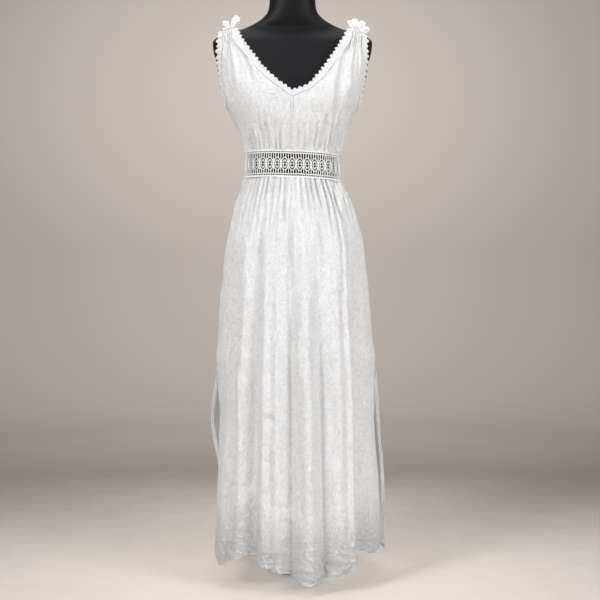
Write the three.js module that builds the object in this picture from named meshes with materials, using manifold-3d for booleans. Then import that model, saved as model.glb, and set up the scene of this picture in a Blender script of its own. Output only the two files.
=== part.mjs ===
import * as THREE from 'three';
import Module from 'manifold-3d';

// A sleeveless V-neck maxi sundress of white cotton gauze, worn by a limbless dress form on a stand.
// Millimetres, +Z up, the front of the dress towards -Y, the origin under the middle of the base.

const wasm = await Module();
wasm.setup();

// Driving dimensions
const gauzeWall = 1.2;
const laceWall = 1.6;
const seamGap = 0.3;
const waistTop = 1041;
const waistBottom = 980;
const waistTilt = 0.036; // the band sits lower on the right hip
const underarm = 1168;
const edgingWidth = 13;
const scallopPitch = 13.5;
const scallopDepth = 4.5;
const squareness = 2.4; // power of the superellipse that each body section follows
const skirtSquareness = 2.15;

const baseRadius = 150;
const baseThickness = 10;
const flangeRadius = 42;
const flangeHeight = 8;
const poleRadius = 12.5;
const torsoBottom = 724;
const neckTop = 1452;
const neckCapHeight = 7;

// Half-breadth and depths of the dress form, from its lower edge to its neck
const formRows = [
  { z: 724, side: 118, front: 80, back: 88 },
  { z: 732, side: 131, front: 92, back: 100 },
  { z: 760, side: 143, front: 101, back: 111 },
  { z: 805, side: 149, front: 104, back: 115 },
  { z: 850, side: 146, front: 100, back: 111 },
  { z: 900, side: 133, front: 90, back: 99 },
  { z: 950, side: 114, front: 77, back: 83 },
  { z: 1010, side: 102, front: 70, back: 71 },
  { z: 1050, side: 104, front: 73, back: 71 },
  { z: 1100, side: 122, front: 90, back: 77 },
  { z: 1145, side: 144, front: 107, back: 85 },
  { z: 1175, side: 156, front: 108, back: 89 },
  { z: 1205, side: 168, front: 102, back: 92 },
  { z: 1235, side: 177, front: 91, back: 91 },
  { z: 1265, side: 187, front: 80, back: 87 },
  { z: 1300, side: 197, front: 66, back: 76 },
  { z: 1322, side: 199, front: 56, back: 64 },
  { z: 1333, side: 190, front: 48, back: 55 },
  { z: 1341, side: 171, front: 43, back: 49 },
  { z: 1351, side: 135, front: 40, back: 46 },
  { z: 1365, side: 100, front: 46, back: 51 },
  { z: 1381, side: 75, front: 50, back: 54 },
  { z: 1397, side: 62, front: 53, back: 56 },
  { z: 1415, side: 58, front: 55, back: 57 },
  { z: 1452, side: 56, front: 55, back: 57 },
];

// The cloth of the bodice and of the waist band, which follows the form with a little ease
const bodiceRows = [
  { z: 980, side: 117.5, front: 84, back: 84 },
  { z: 1041, side: 116, front: 84, back: 83 },
  { z: 1055, side: 117.5, front: 87, back: 83 },
  { z: 1080, side: 125, front: 96, back: 84 },
  { z: 1100, side: 132, front: 103, back: 86 },
  { z: 1130, side: 146, front: 112, back: 90 },
  { z: 1168, side: 165, front: 118, back: 95 },
  { z: 1200, side: 176, front: 113, back: 99 },
  { z: 1230, side: 184, front: 102, back: 98 },
  { z: 1265, side: 194, front: 89, back: 94 },
  { z: 1300, side: 203, front: 75, back: 84 },
  { z: 1325, side: 205, front: 63, back: 71 },
  { z: 1338, side: 194, front: 57, back: 64 },
  { z: 1346, side: 176, front: 54, back: 60 },
  { z: 1356, side: 139, front: 51, back: 57 },
];

// Finished edges of the neck, as half-widths seen from the front, from the middle to the shoulder
const neckFront = [
  { t: 0.0, x: 0, z: 1182 },
  { t: 0.16, x: 28, z: 1203 },
  { t: 0.32, x: 54, z: 1227 },
  { t: 0.48, x: 80, z: 1258 },
  { t: 0.66, x: 105, z: 1295 },
  { t: 0.84, x: 125, z: 1327 },
  { t: 1.0, x: 138, z: 1356 },
];
const neckBack = [
  { t: 0.0, x: 0, z: 1262 },
  { t: 0.3, x: 50, z: 1270 },
  { t: 0.6, x: 93, z: 1297 },
  { t: 0.85, x: 124, z: 1333 },
  { t: 1.0, x: 138, z: 1356 },
];

// Finished edge of an armhole, as degrees turned from the middle of the front or back
const armhole = [
  { t: 0.0, turn: 90, z: 1168 },
  { t: 0.08, turn: 84, z: 1173 },
  { t: 0.22, turn: 79, z: 1200 },
  { t: 0.38, turn: 77, z: 1232 },
  { t: 0.54, turn: 72.5, z: 1266 },
  { t: 0.72, turn: 66.5, z: 1302 },
  { t: 0.88, turn: 64, z: 1331 },
  { t: 1.0, turn: 82, z: 1346 },
];

// Front and back of the skirt: how far each reaches to the left, the right and outwards, by height
const skirtFrontRows = [
  { z: 40, left: 193, right: 209, depth: 176 },
  { z: 130, left: 189, right: 218, depth: 176 },
  { z: 210, left: 186, right: 214, depth: 174 },
  { z: 320, left: 182, right: 206, depth: 170 },
  { z: 400, left: 179, right: 203, depth: 167 },
  { z: 480, left: 187, right: 203, depth: 162 },
  { z: 530, left: 188, right: 204, depth: 159 },
  { z: 598, left: 184, right: 198, depth: 154 },
  { z: 678, left: 180, right: 191, depth: 148 },
  { z: 748, left: 172, right: 184, depth: 141 },
  { z: 820, left: 163, right: 174, depth: 131 },
  { z: 868, left: 151, right: 161, depth: 121 },
  { z: 913, left: 139, right: 147, depth: 108 },
  { z: 961, left: 121, right: 124, depth: 90 },
  { z: 980, left: 117.5, right: 117.5, depth: 84 },
];
const skirtBackRows = [
  { z: 40, left: 186, right: 233, depth: 192 },
  { z: 130, left: 183, right: 231, depth: 190 },
  { z: 210, left: 183, right: 231, depth: 187 },
  { z: 270, left: 187, right: 228, depth: 184 },
  { z: 330, left: 199, right: 222, depth: 181 },
  { z: 380, left: 205, right: 219, depth: 178 },
  { z: 480, left: 194, right: 212, depth: 172 },
  { z: 530, left: 188, right: 204, depth: 168 },
  { z: 598, left: 184, right: 198, depth: 163 },
  { z: 678, left: 180, right: 191, depth: 157 },
  { z: 748, left: 172, right: 184, depth: 149 },
  { z: 820, left: 163, right: 174, depth: 138 },
  { z: 868, left: 151, right: 161, depth: 127 },
  { z: 913, left: 139, right: 147, depth: 111 },
  { z: 961, left: 121, right: 124, depth: 91 },
  { z: 980, left: 117.5, right: 117.5, depth: 84 },
];

// Large folds: place across at the hem and at the top of the fold, half-width, how far it stands out
const skirtFrontFolds = [
  { hemX: -158, topX: -140, width: 17, rise: 12, top: 700 },
  { hemX: -122, topX: -112, width: 17, rise: 17, top: 930 },
  { hemX: -93, topX: -84, width: 17, rise: -40, top: 900 },
  { hemX: -66, topX: -60, width: 14, rise: 17, top: 920 },
  { hemX: -34, topX: -36, width: 19, rise: 16, top: 930 },
  { hemX: 1, topX: -2, width: 10, rise: -13, top: 900 },
  { hemX: 40, topX: 28, width: 26, rise: 27, top: 940 },
  { hemX: 72, topX: 62, width: 13, rise: -12, top: 930 },
  { hemX: 108, topX: 96, width: 22, rise: 24, top: 900 },
  { hemX: 137, topX: 124, width: 12, rise: 20, top: 900 },
  { hemX: 170, topX: 152, width: 20, rise: -30, top: 920 },
];
const skirtBackFolds = [
  { hemX: -165, topX: -148, width: 16, rise: 13, top: 720 },
  { hemX: -136, topX: -120, width: 15, rise: -20, top: 760 },
  { hemX: -98, topX: -88, width: 22, rise: 23, top: 930 },
  { hemX: -58, topX: -50, width: 15, rise: -16, top: 820 },
  { hemX: -16, topX: -18, width: 24, rise: 21, top: 940 },
  { hemX: 26, topX: 20, width: 13, rise: -18, top: 900 },
  { hemX: 68, topX: 58, width: 22, rise: 24, top: 930 },
  { hemX: 112, topX: 98, width: 17, rise: -22, top: 820 },
  { hemX: 150, topX: 132, width: 19, rise: 19, top: 780 },
];

// Height of the hem above the floor, across the front and the back
const hemFront = [
  { x: -196, z: 58 },
  { x: -172, z: 40 },
  { x: -140, z: 46 },
  { x: -110, z: 58 },
  { x: -86, z: 68 },
  { x: -66, z: 52 },
  { x: -30, z: 47 },
  { x: 0, z: 41 },
  { x: 36, z: 24 },
  { x: 70, z: 30 },
  { x: 110, z: 44 },
  { x: 145, z: 46 },
  { x: 168, z: 66 },
  { x: 196, z: 52 },
  { x: 212, z: 66 },
];
const hemBack = [
  { x: -186, z: 60 },
  { x: -100, z: 44 },
  { x: -20, z: 38 },
  { x: 70, z: 42 },
  { x: 150, z: 52 },
  { x: 233, z: 56 },
];

// Each knot sits down on the form's shoulder between the ends of the front and back straps
const knotSink = 5.2;
const knotSetBack = 0.5;

// Loops of the ties: place along the shoulder, lean to the right in degrees, length, breadth, opening
const tieLoops = {
  left: [
    { along: -167, lean: -16, length: 24, breadth: 14, open: 6 },
    { along: -152, lean: 34, length: 41, breadth: 15, open: 7 },
  ],
  right: [
    { along: 150, lean: -12, length: 30, breadth: 9, open: 5 },
    { along: 164, lean: 4, length: 27, breadth: 17, open: 8 },
    { along: 176, lean: 42, length: 24, breadth: 12, open: 6 },
  ],
};
const tieKnots = {
  left: { along: -157, halfLength: 18, halfDepth: 10.4, halfHeight: 7 },
  right: { along: 162, halfLength: 20, halfDepth: 10.4, halfHeight: 8 },
};

const materials = {
  gauze: { color: 0xf0efed, roughness: 0.95, metalness: 0 },
  crochet: { color: 0xf5f2eb, roughness: 0.9, metalness: 0 },
  formSkin: { color: 0x222428, roughness: 0.62, metalness: 0 },
  steel: { color: 0xb4b4b2, roughness: 0.35, metalness: 1 },
  glass: { color: 0xe4efec, roughness: 0.05, metalness: 0 },
};

const clamp = (value, low, high) => Math.min(high, Math.max(low, value));
const blend = (from, to, share) => from + (to - from) * share;

function ease(share) {
  const t = clamp(share, 0, 1);
  return t * t * (3 - 2 * t);
}

// One column of a table at a place along its key, on a curve that never overshoots the rows
function reading(rows, key, name, at) {
  const last = rows.length - 1;
  if (at <= rows[0][key]) return rows[0][name];
  if (at >= rows[last][key]) return rows[last][name];
  let i = 0;
  while (rows[i + 1][key] < at) i += 1;
  const slope = (k) => (rows[k + 1][name] - rows[k][name]) / (rows[k + 1][key] - rows[k][key]);
  const lean = (k) => {
    if (k === 0) return slope(0);
    if (k === last) return slope(last - 1);
    const before = slope(k - 1);
    const after = slope(k);
    return before * after > 0 ? (2 * before * after) / (before + after) : 0;
  };
  const span = rows[i + 1][key] - rows[i][key];
  const t = (at - rows[i][key]) / span;
  const start = rows[i][name] * (1 + 2 * t) + lean(i) * span * t;
  const end = rows[i + 1][name] * (3 - 2 * t) + lean(i + 1) * span * (t - 1);
  return start * (1 - t) * (1 - t) + end * t * t;
}

// The waist band and what is sewn to it lean down to the right; the rest hangs level
function settle(point) {
  const above = 1 - ease((point.z - waistTop) / (underarm - waistTop));
  const below = 1 - ease((waistBottom - point.z) / 130);
  point.z -= waistTilt * point.x * Math.min(above, below);
  return point;
}

// A point of a section: turn 0 is the middle of the front, 90 degrees the right side, 180 the back
function sectionPoint(rows, turn, z) {
  const across = Math.sin(turn);
  const along = Math.cos(turn);
  const side = reading(rows, 'z', 'side', z);
  const depth = reading(rows, 'z', along > 0 ? 'front' : 'back', z);
  const x = side * Math.sign(across) * Math.abs(across) ** (2 / squareness);
  const y = -depth * Math.sign(along) * Math.abs(along) ** (2 / squareness);
  return new THREE.Vector3(x, y, z);
}

// The turn away from the middle of the front or back at which a bodice point lies
function turnOf(x, y, z) {
  const side = reading(bodiceRows, 'z', 'side', z);
  const depth = reading(bodiceRows, 'z', y < 0 ? 'front' : 'back', z);
  const across = Math.abs(x / side) ** (squareness / 2);
  return Math.atan2(across, Math.abs(y / depth) ** (squareness / 2));
}

// Widest turn that the cloth reaches beside the knot on top of the shoulder
const shoulderTurn = THREE.MathUtils.degToRad(82);

function turnFromWidth(x, z) {
  const share = Math.min(1, x / reading(bodiceRows, 'z', 'side', z)) ** (squareness / 2);
  return Math.min(Math.asin(share), shoulderTurn);
}

// A bodice point from its turn away from the middle, on the left or right and the front or back
function bodicePoint(turn, z, hand, face) {
  return sectionPoint(bodiceRows, face < 0 ? hand * turn : hand * (Math.PI - turn), z);
}

function neckEdge(t, hand, face) {
  const rows = face < 0 ? neckFront : neckBack;
  const z = reading(rows, 't', 'z', t);
  return bodicePoint(turnFromWidth(reading(rows, 't', 'x', t), z), z, hand, face);
}

function armEdge(t, hand, face) {
  const z = reading(armhole, 't', 'z', t);
  return bodicePoint(THREE.MathUtils.degToRad(reading(armhole, 't', 'turn', t)), z, hand, face);
}

// The seam that lies one edging's width inside a finished edge, measured over the cloth
function seamPoint(edge, opposite, t, hand, face, towards) {
  const step = 0.01;
  const here = edge(t, hand, face);
  const before = edge(Math.max(0, t - step), hand, face);
  const after = edge(Math.min(1, t + step), hand, face);
  const along = after.sub(before).normalize();
  const centre = new THREE.Vector3(0, 0, here.z);
  const outward = here.clone().sub(centre).normalize();
  const inward = along.clone().cross(outward).normalize();
  if (inward.dot(towards) < 0) inward.negate();
  inward.lerp(new THREE.Vector3(0, 0, -1.25), 1 - ease(t / 0.1));
  const point = here.clone().addScaledVector(inward, edgingWidth);
  const turn = Math.min(turnOf(point.x, point.y, point.z), Math.PI / 2);
  const far = opposite(t, hand, face);
  const share = Math.min(edgingWidth / here.distanceTo(far), 0.27);
  const across = blend(turnOf(here.x, here.y, here.z), turnOf(far.x, far.y, far.z), share);
  const nearShoulder = ease((t - 0.68) / 0.3);
  return {
    turn: blend(turn, across, nearShoulder),
    z: blend(point.z, blend(here.z, far.z, share), nearShoulder),
  };
}

// Cut edges at the side seams, the front seam and the waist face straight across their seam
function squareToSeams(normal, point, level) {
  if (level) normal.z = 0;
  if (Math.abs(point.y) < seamGap) normal.y = 0;
  if (Math.abs(point.x) < seamGap) normal.x = 0;
}

// A closed wall around a sheet of points: half the wall's thickness to each side of every triangle
function wall(points, faces, thickness, level = () => false) {
  const normals = points.map(() => new THREE.Vector3());
  const edges = new Map();
  for (const [a, b, c] of faces) {
    const ab = points[b].clone().sub(points[a]);
    const ac = points[c].clone().sub(points[a]);
    const normal = ab.cross(ac);
    for (const corner of [a, b, c]) normals[corner].add(normal);
    for (const [from, to] of [[a, b], [b, c], [c, a]]) {
      if (!edges.delete(`${to} ${from}`)) edges.set(`${from} ${to}`, [from, to]);
    }
  }
  const outer = [];
  const inner = [];
  points.forEach((point, i) => {
    squareToSeams(normals[i], point, level(point));
    const half = normals[i].normalize().multiplyScalar(thickness / 2);
    outer.push(point.clone().add(half));
    inner.push(point.clone().sub(half));
  });
  const count = points.length;
  const index = [];
  for (const [a, b, c] of faces) index.push(a, b, c, a + count, c + count, b + count);
  for (const [from, to] of edges.values()) {
    index.push(from, from + count, to, to, from + count, to + count);
  }
  const geometry = new THREE.BufferGeometry();
  geometry.setFromPoints([...outer, ...inner]);
  geometry.setIndex(index);
  return geometry;
}

// Two triangles for each cell of a grid of points that is given row by row
function gridFaces(columns, rows, first = 0) {
  const faces = [];
  for (let j = 0; j < rows; j += 1) {
    for (let i = 0; i < columns; i += 1) {
      const a = first + j * (columns + 1) + i;
      const b = a + columns + 1;
      if ((i + j) % 2 === 0) faces.push([a, a + 1, b + 1], [a, b + 1, b]);
      else faces.push([a, a + 1, b], [a + 1, b + 1, b]);
    }
  }
  return faces;
}

// Moves the points of a grid out along the sheet's own normals by a relief given for each place
function raise(points, columns, rows, relief) {
  const at = (i, j) => points[clamp(j, 0, rows) * (columns + 1) + clamp(i, 0, columns)];
  return points.map((point, k) => {
    const i = k % (columns + 1);
    const j = Math.floor(k / (columns + 1));
    const across = at(i + 1, j).clone().sub(at(i - 1, j));
    const along = at(i, j + 1).clone().sub(at(i, j - 1));
    const normal = across.cross(along);
    if (j === 0) normal.z = 0;
    normal.normalize();
    if (normal.dot(new THREE.Vector3(point.x, point.y, 0)) < 0) normal.negate();
    return point.clone().addScaledVector(normal, relief(i, j, point));
  });
}

// Joins points that lie on each other, so that two grids meet without a seam
function welded(points, faces) {
  const kept = [];
  const places = new Map();
  const renamed = points.map((point) => {
    const key = point.toArray().map((value) => Math.round(value * 100)).join(' ');
    if (!places.has(key)) {
      places.set(key, kept.length);
      kept.push(point);
    }
    return places.get(key);
  });
  const joined = faces.map((face) => face.map((corner) => renamed[corner]));
  return { points: kept, faces: joined.filter(([a, b, c]) => a !== b && b !== c && c !== a) };
}

// Half of the bodice between the middle and the side: a grid from the waist band up to the shoulder
const columnsAcross = (face) => (face < 0 ? 14 : 8);
const waistToUnderarm = 4;
const underarmToShoulder = 8;
const bodiceHeightRows = waistToUnderarm + underarmToShoulder;

function bodiceEdges(hand, face) {
  const inwardAtNeck = new THREE.Vector3(hand, 0, -0.6);
  const inwardAtArm = new THREE.Vector3(-hand, face * 2, -0.4);
  const bottom = waistTop + seamGap;
  const neckStart = seamPoint(neckEdge, armEdge, 0, hand, face, inwardAtNeck).z;
  const armStart = seamPoint(armEdge, neckEdge, 0, hand, face, inwardAtArm).z;
  const inner = [];
  const outer = [];
  for (let j = 0; j <= waistToUnderarm; j += 1) {
    const share = j / waistToUnderarm;
    inner.push({ turn: 0, z: blend(bottom, neckStart, share) });
    outer.push({ turn: Math.PI / 2, z: blend(bottom, armStart, share) });
  }
  for (let j = 1; j <= underarmToShoulder; j += 1) {
    const t = j / underarmToShoulder;
    inner.push(seamPoint(neckEdge, armEdge, t, hand, face, inwardAtNeck));
    outer.push(seamPoint(armEdge, neckEdge, t, hand, face, inwardAtArm));
  }
  return { inner, outer };
}

function bodiceRelief(i, j, columns) {
  if (i === 0 || i === columns || j === bodiceHeightRows) return 0;
  const ripple = (i % 2 === 0 ? 1 : -1) * (0.8 + 0.3 * Math.sin(i * 2.1));
  const nearBand = 1 - ease((j - 1) / 4);
  const nearShoulder = ease((j - bodiceHeightRows + 6) / 5);
  const pleat = Math.cos((i / columns) * Math.PI * (columns / 2) + 0.6);
  const puff = Math.sin((Math.min(j, 5) / 5) * Math.PI) * 2;
  return 1.1 * ripple * nearBand + 1.7 * pleat * nearShoulder + puff;
}

function bodiceHalf(hand, face) {
  const { inner, outer } = bodiceEdges(hand, face);
  const columns = columnsAcross(face);
  const points = [];
  for (let j = 0; j <= bodiceHeightRows; j += 1) {
    for (let i = 0; i <= columns; i += 1) {
      const share = i / columns;
      const turn = blend(inner[j].turn, outer[j].turn, share);
      points.push(bodicePoint(turn, blend(inner[j].z, outer[j].z, share), hand, face));
    }
  }
  const relief = (i, j) => bodiceRelief(i, j, columns);
  const raised = raise(points, columns, bodiceHeightRows, relief);
  for (const point of raised) {
    point.y += (face * seamGap) / 2;
    if (face < 0) point.x += (hand * seamGap) / 2;
    settle(point);
  }
  return raised;
}

const nearBand = (point) => point.z < waistTop + 30;

function bodiceFront(hand) {
  const faces = gridFaces(columnsAcross(-1), bodiceHeightRows);
  return wall(bodiceHalf(hand, -1), faces, gauzeWall, nearBand);
}

function bodiceBack() {
  const left = bodiceHalf(-1, 1);
  const right = bodiceHalf(1, 1);
  const columns = columnsAcross(1);
  const faces = gridFaces(columns, bodiceHeightRows);
  const mirrored = gridFaces(columns, bodiceHeightRows, left.length).map(([a, b, c]) => [a, c, b]);
  const sheet = welded([...left, ...right], [...faces, ...mirrored]);
  return wall(sheet.points, sheet.faces, gauzeWall, nearBand);
}

// The seam of a panel at a place between two of its rows, and the finished edge opposite it
function edgingPair(half, column, edge, hand, face, share) {
  const place = share * underarmToShoulder;
  const row = Math.min(Math.floor(place), underarmToShoulder - 1);
  const at = (j) => half[(waistToUnderarm + j) * (columnsAcross(face) + 1) + column];
  const seam = at(row).clone().lerp(at(row + 1), place - row);
  const rim = edge(share, hand, face);
  rim.y += (face * seamGap) / 2;
  if (face < 0 && column === 0) rim.x += (hand * seamGap) / 2;
  return { seam, rim };
}

// A crochet edging: from the seam out to a rim that swells into one scallop after another
function edgingStrip(pairs) {
  const seams = [];
  const rims = [];
  let length = 0;
  pairs.forEach(({ seam, rim }, k) => {
    if (k > 0) length += rim.distanceTo(pairs[k - 1].rim);
    const outward = rim.clone().sub(seam).normalize();
    const wave = Math.abs(Math.sin((Math.PI * length) / scallopPitch));
    seams.push(seam.clone().addScaledVector(outward, seamGap));
    rims.push(rim.clone().addScaledVector(outward, scallopDepth * (wave - 0.7)));
  });
  return wall([...seams, ...rims], gridFaces(pairs.length - 1, 1), laceWall);
}

function neckEdging(hand, face) {
  const half = bodiceHalf(hand, face);
  const steps = face < 0 ? 54 : 32;
  const pairs = [];
  for (let k = 0; k <= steps; k += 1) {
    pairs.push(edgingPair(half, 0, neckEdge, hand, face, k / steps));
  }
  return pairs;
}

function neckBackEdging() {
  const left = neckEdging(-1, 1).reverse();
  return edgingStrip([...left, ...neckEdging(1, 1).slice(1)]);
}

function armholeEdging(hand) {
  const steps = 28;
  const side = (face) => {
    const half = bodiceHalf(hand, face);
    const pairs = [];
    for (let k = 0; k <= steps; k += 1) {
      pairs.push(edgingPair(half, columnsAcross(face), armEdge, hand, face, k / steps));
    }
    return pairs;
  };
  return edgingStrip([...side(-1).reverse(), ...side(1).slice(1)]);
}

// The narrow raised seam that joins the two fronts
function frontSeam() {
  const half = bodiceHalf(1, -1);
  const halfBreadth = 2.2;
  const points = [];
  for (let j = 0; j <= waistToUnderarm; j += 1) {
    const middle = half[j * (columnsAcross(-1) + 1)];
    const stand = (gauzeWall + laceWall) / 2 + seamGap + 0.4;
    for (const side of [-1, 1]) {
      points.push(new THREE.Vector3(side * halfBreadth, middle.y - stand, middle.z));
    }
  }
  return wall(points, gridFaces(1, waistToUnderarm), laceWall);
}

// Turn of the waist section at each share of its girth, so that the lace repeats evenly
function girthTurns(samples) {
  const lengths = [0];
  const middle = (waistTop + waistBottom) / 2;
  for (let k = 1; k <= samples; k += 1) {
    const from = sectionPoint(bodiceRows, (Math.PI * (k - 1)) / samples - Math.PI / 2, middle);
    const to = sectionPoint(bodiceRows, (Math.PI * k) / samples - Math.PI / 2, middle);
    lengths.push(lengths[k - 1] + from.distanceTo(to));
  }
  const whole = lengths[samples];
  return (share) => {
    let k = 1;
    while (k < samples && lengths[k] < share * whole) k += 1;
    const part = (share * whole - lengths[k - 1]) / (lengths[k] - lengths[k - 1]);
    return (Math.PI * (k - 1 + part)) / samples - Math.PI / 2;
  };
}

// One repeat of the waist lace, from the middle of one oval to the middle of the next
const laceRepeats = 17; // in each half of the waist
const lacePitch = 19;
const laceHeight = waistTop - waistBottom;
const ovalMiddle = 27;

function laceHoles() {
  const crescent = [[2.8, -14], [6.4, -6], [6.4, 6], [2.8, 14], [2.1, 0]];
  const kite = [[0, 6.5], [3.4, 14], [0, 18], [-3.4, 14]];
  const hole = (outline, middle, hand, updown) =>
    outline.map(([x, z]) => new THREE.Vector2(middle + hand * x, ovalMiddle + updown * z));
  return [
    hole(crescent, 0, 1, 1),
    hole(crescent, lacePitch, -1, 1),
    hole(kite, lacePitch / 2, 1, 1),
    hole(kite, lacePitch / 2, 1, -1),
  ];
}

function waistLace(face) {
  const corners = [[0, 0], [lacePitch, 0], [lacePitch, laceHeight], [0, laceHeight]];
  const contour = corners.map(([x, z]) => new THREE.Vector2(x, z));
  const holes = laceHoles();
  const flat = [...contour, ...holes.flat()];
  const cells = THREE.ShapeUtils.triangulateShape(contour, holes);
  const turnAt = girthTurns(240);
  const points = [];
  const faces = [];
  for (let repeat = 0; repeat < laceRepeats; repeat += 1) {
    const first = points.length;
    for (const place of flat) {
      const turn = turnAt((repeat + place.x / lacePitch) / laceRepeats);
      const point = sectionPoint(bodiceRows, face < 0 ? turn : Math.PI - turn, waistBottom + place.y);
      point.y += (face * seamGap) / 2;
      points.push(settle(point));
    }
    for (const cell of cells) faces.push(cell.map((corner) => corner + first));
  }
  const strip = welded(points, faces);
  return wall(strip.points, strip.faces, laceWall, () => true);
}

// How far the large folds move the skirt in or out at a place
function foldRelief(folds, x, z) {
  let relief = 0;
  for (const fold of folds) {
    const down = clamp((fold.top - z) / (fold.top - 40), 0, 1);
    const middle = blend(fold.topX, fold.hemX, down);
    const width = fold.width * blend(0.55, 1.05, down);
    const strength = ease(down * 1.25);
    relief += fold.rise * strength * Math.exp(-(((x - middle) / width) ** 2));
  }
  return relief;
}

// Distances below the waist seam, as shares of the skirt's length, closer where the gathers are
const skirtLevels = [0, 0.012, 0.04, 0.085, 0.145, 0.23, 0.34, 0.47, 0.61, 0.75, 0.89, 1];
const slitTop = 500;
const slitDraw = 15;

function skirtPanel({ rows, folds, hem, face, gathers }) {
  const columns = gathers * 2;
  const top = waistBottom - seamGap;
  const points = [];
  for (const level of skirtLevels) {
    for (let i = 0; i <= columns; i += 1) {
      const turn = (Math.PI * i) / columns - Math.PI / 2;
      const across = Math.sin(turn);
      const name = across < 0 ? 'left' : 'right';
      const sideShare = Math.sign(across) * Math.abs(across) ** (2 / skirtSquareness);
      const hemZ = reading(hem, 'x', 'z', sideShare * reading(rows, 'z', name, 50));
      const z = blend(top, hemZ, level);
      const x = sideShare * reading(rows, 'z', name, z);
      const depth = reading(rows, 'z', 'depth', z);
      const draw = seamGap / 2 + slitDraw * ease((slitTop - z) / slitTop);
      const y = face * (depth * Math.max(0, Math.cos(turn)) ** (2 / skirtSquareness) + draw);
      points.push(new THREE.Vector3(x, y, z));
    }
  }
  const relief = (i, j, point) => {
    const sideFade = ease(Math.min(i, columns - i) / 5);
    const gather = (i % 2 === 0 ? 1 : -1) * (1 + 0.3 * Math.sin(i * 1.7));
    const depthBelow = (top - point.z) / 150;
    const gathered = 2.3 * Math.min(1, 0.35 + depthBelow * 6) * (1 - ease(depthBelow));
    const edge = i === 0 || i === columns ? 0 : 1;
    return edge * gather * gathered + sideFade * foldRelief(folds, point.x, point.z);
  };
  const raised = raise(points, columns, skirtLevels.length - 1, relief).map(settle);
  return wall(raised, gridFaces(columns, skirtLevels.length - 1), gauzeWall, () => true);
}

// The form's torso: rings from its lower edge up to the top of the neck, closed at both ends
function formTorso() {
  const columns = 24;
  const heights = formRows.map((row) => row.z);
  const positions = [];
  const index = [];
  for (const z of heights) {
    for (let i = 0; i < columns; i += 1) {
      positions.push(sectionPoint(formRows, (2 * Math.PI * i) / columns - Math.PI, z));
    }
  }
  heights.slice(1).forEach((_, j) => {
    for (let i = 0; i < columns; i += 1) {
      const next = (i + 1) % columns;
      const low = j * columns;
      const high = low + columns;
      index.push(low + i, low + next, high + next, low + i, high + next, high + i);
    }
  });
  const below = positions.length;
  positions.push(new THREE.Vector3(0, 0, heights[0]));
  const above = positions.length;
  positions.push(new THREE.Vector3(0, 0, heights[heights.length - 1]));
  const lastRing = (heights.length - 1) * columns;
  for (let i = 0; i < columns; i += 1) {
    const next = (i + 1) % columns;
    index.push(below, next, i, above, lastRing + i, lastRing + next);
  }
  const geometry = new THREE.BufferGeometry();
  geometry.setFromPoints(positions);
  geometry.setIndex(index);
  return geometry;
}

// A turned piece about the Z axis, from its profile of radius and height
function turned(profile, segments) {
  const outline = profile.map(([radius, z]) => new THREE.Vector2(radius, z));
  return new THREE.LatheGeometry(outline, segments).rotateX(Math.PI / 2);
}

function neckCap() {
  const low = neckTop + seamGap;
  const high = low + neckCapHeight;
  const profile = [[0, low], [52, low], [54, low + 2], [52, high - 2], [45, high - 0.5], [0, high]];
  return turned(profile, 24).scale(1, 1.01, 1);
}

function pole() {
  const low = baseThickness + flangeHeight;
  return new THREE.CylinderGeometry(poleRadius, poleRadius, torsoBottom - low - 2 * seamGap, 16)
    .rotateX(Math.PI / 2)
    .translate(0, 0, (torsoBottom + low) / 2);
}

function flange() {
  const low = baseThickness + seamGap;
  const high = baseThickness + flangeHeight;
  const profile = [[0, low], [flangeRadius, low], [flangeRadius, low + 2.5], [22, high], [0, high]];
  return turned(profile, 24);
}

function base() {
  const chamfer = 1.5;
  const profile = [
    [0, 0],
    [baseRadius - chamfer, 0],
    [baseRadius, chamfer],
    [baseRadius, baseThickness - chamfer],
    [baseRadius - chamfer, baseThickness],
    [0, baseThickness],
  ];
  return turned(profile, 40);
}

// Height of the cloth's ridge on top of the shoulder at a distance from the middle
function ridgeHeight(x) {
  return blend(1356, 1346, (Math.abs(x) - 139) / (176 - 139));
}

// A loop of tie cloth: it rises from the knot, folds over at its tip and comes back behind itself
function tieLoop({ along, lean, length, breadth, open }) {
  const steps = 9;
  const columns = 2;
  const points = [];
  for (let j = 0; j <= steps; j += 1) {
    const swing = (j / steps - 0.5) * Math.PI * 1.16;
    const rise = length * (0.52 + 0.48 * Math.cos(swing * 1.6));
    const y = (open / 2) * Math.sin(clamp(swing * 1.2, -Math.PI / 2, Math.PI / 2));
    for (let i = 0; i <= columns; i += 1) {
      const share = i / columns - 0.5;
      const narrowed = breadth * (0.6 + 0.42 * Math.sin((Math.PI * 0.8 * rise) / length));
      points.push(new THREE.Vector3(share * narrowed, y - 1.2 * (1 - 4 * share * share), rise));
    }
  }
  const loop = wall(points, gridFaces(columns, steps), laceWall);
  loop.rotateY(THREE.MathUtils.degToRad(lean));
  return loop.translate(along, knotSetBack, ridgeHeight(along) + 3);
}

function tieKnot({ along, halfLength, halfDepth, halfHeight }) {
  const slope = Math.atan2(10, 37) * Math.sign(along);
  return new THREE.SphereGeometry(1, 12, 8)
    .scale(halfLength, halfDepth, halfHeight)
    .rotateY(slope)
    .translate(along, knotSetBack, ridgeHeight(along) + halfHeight - knotSink);
}

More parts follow.
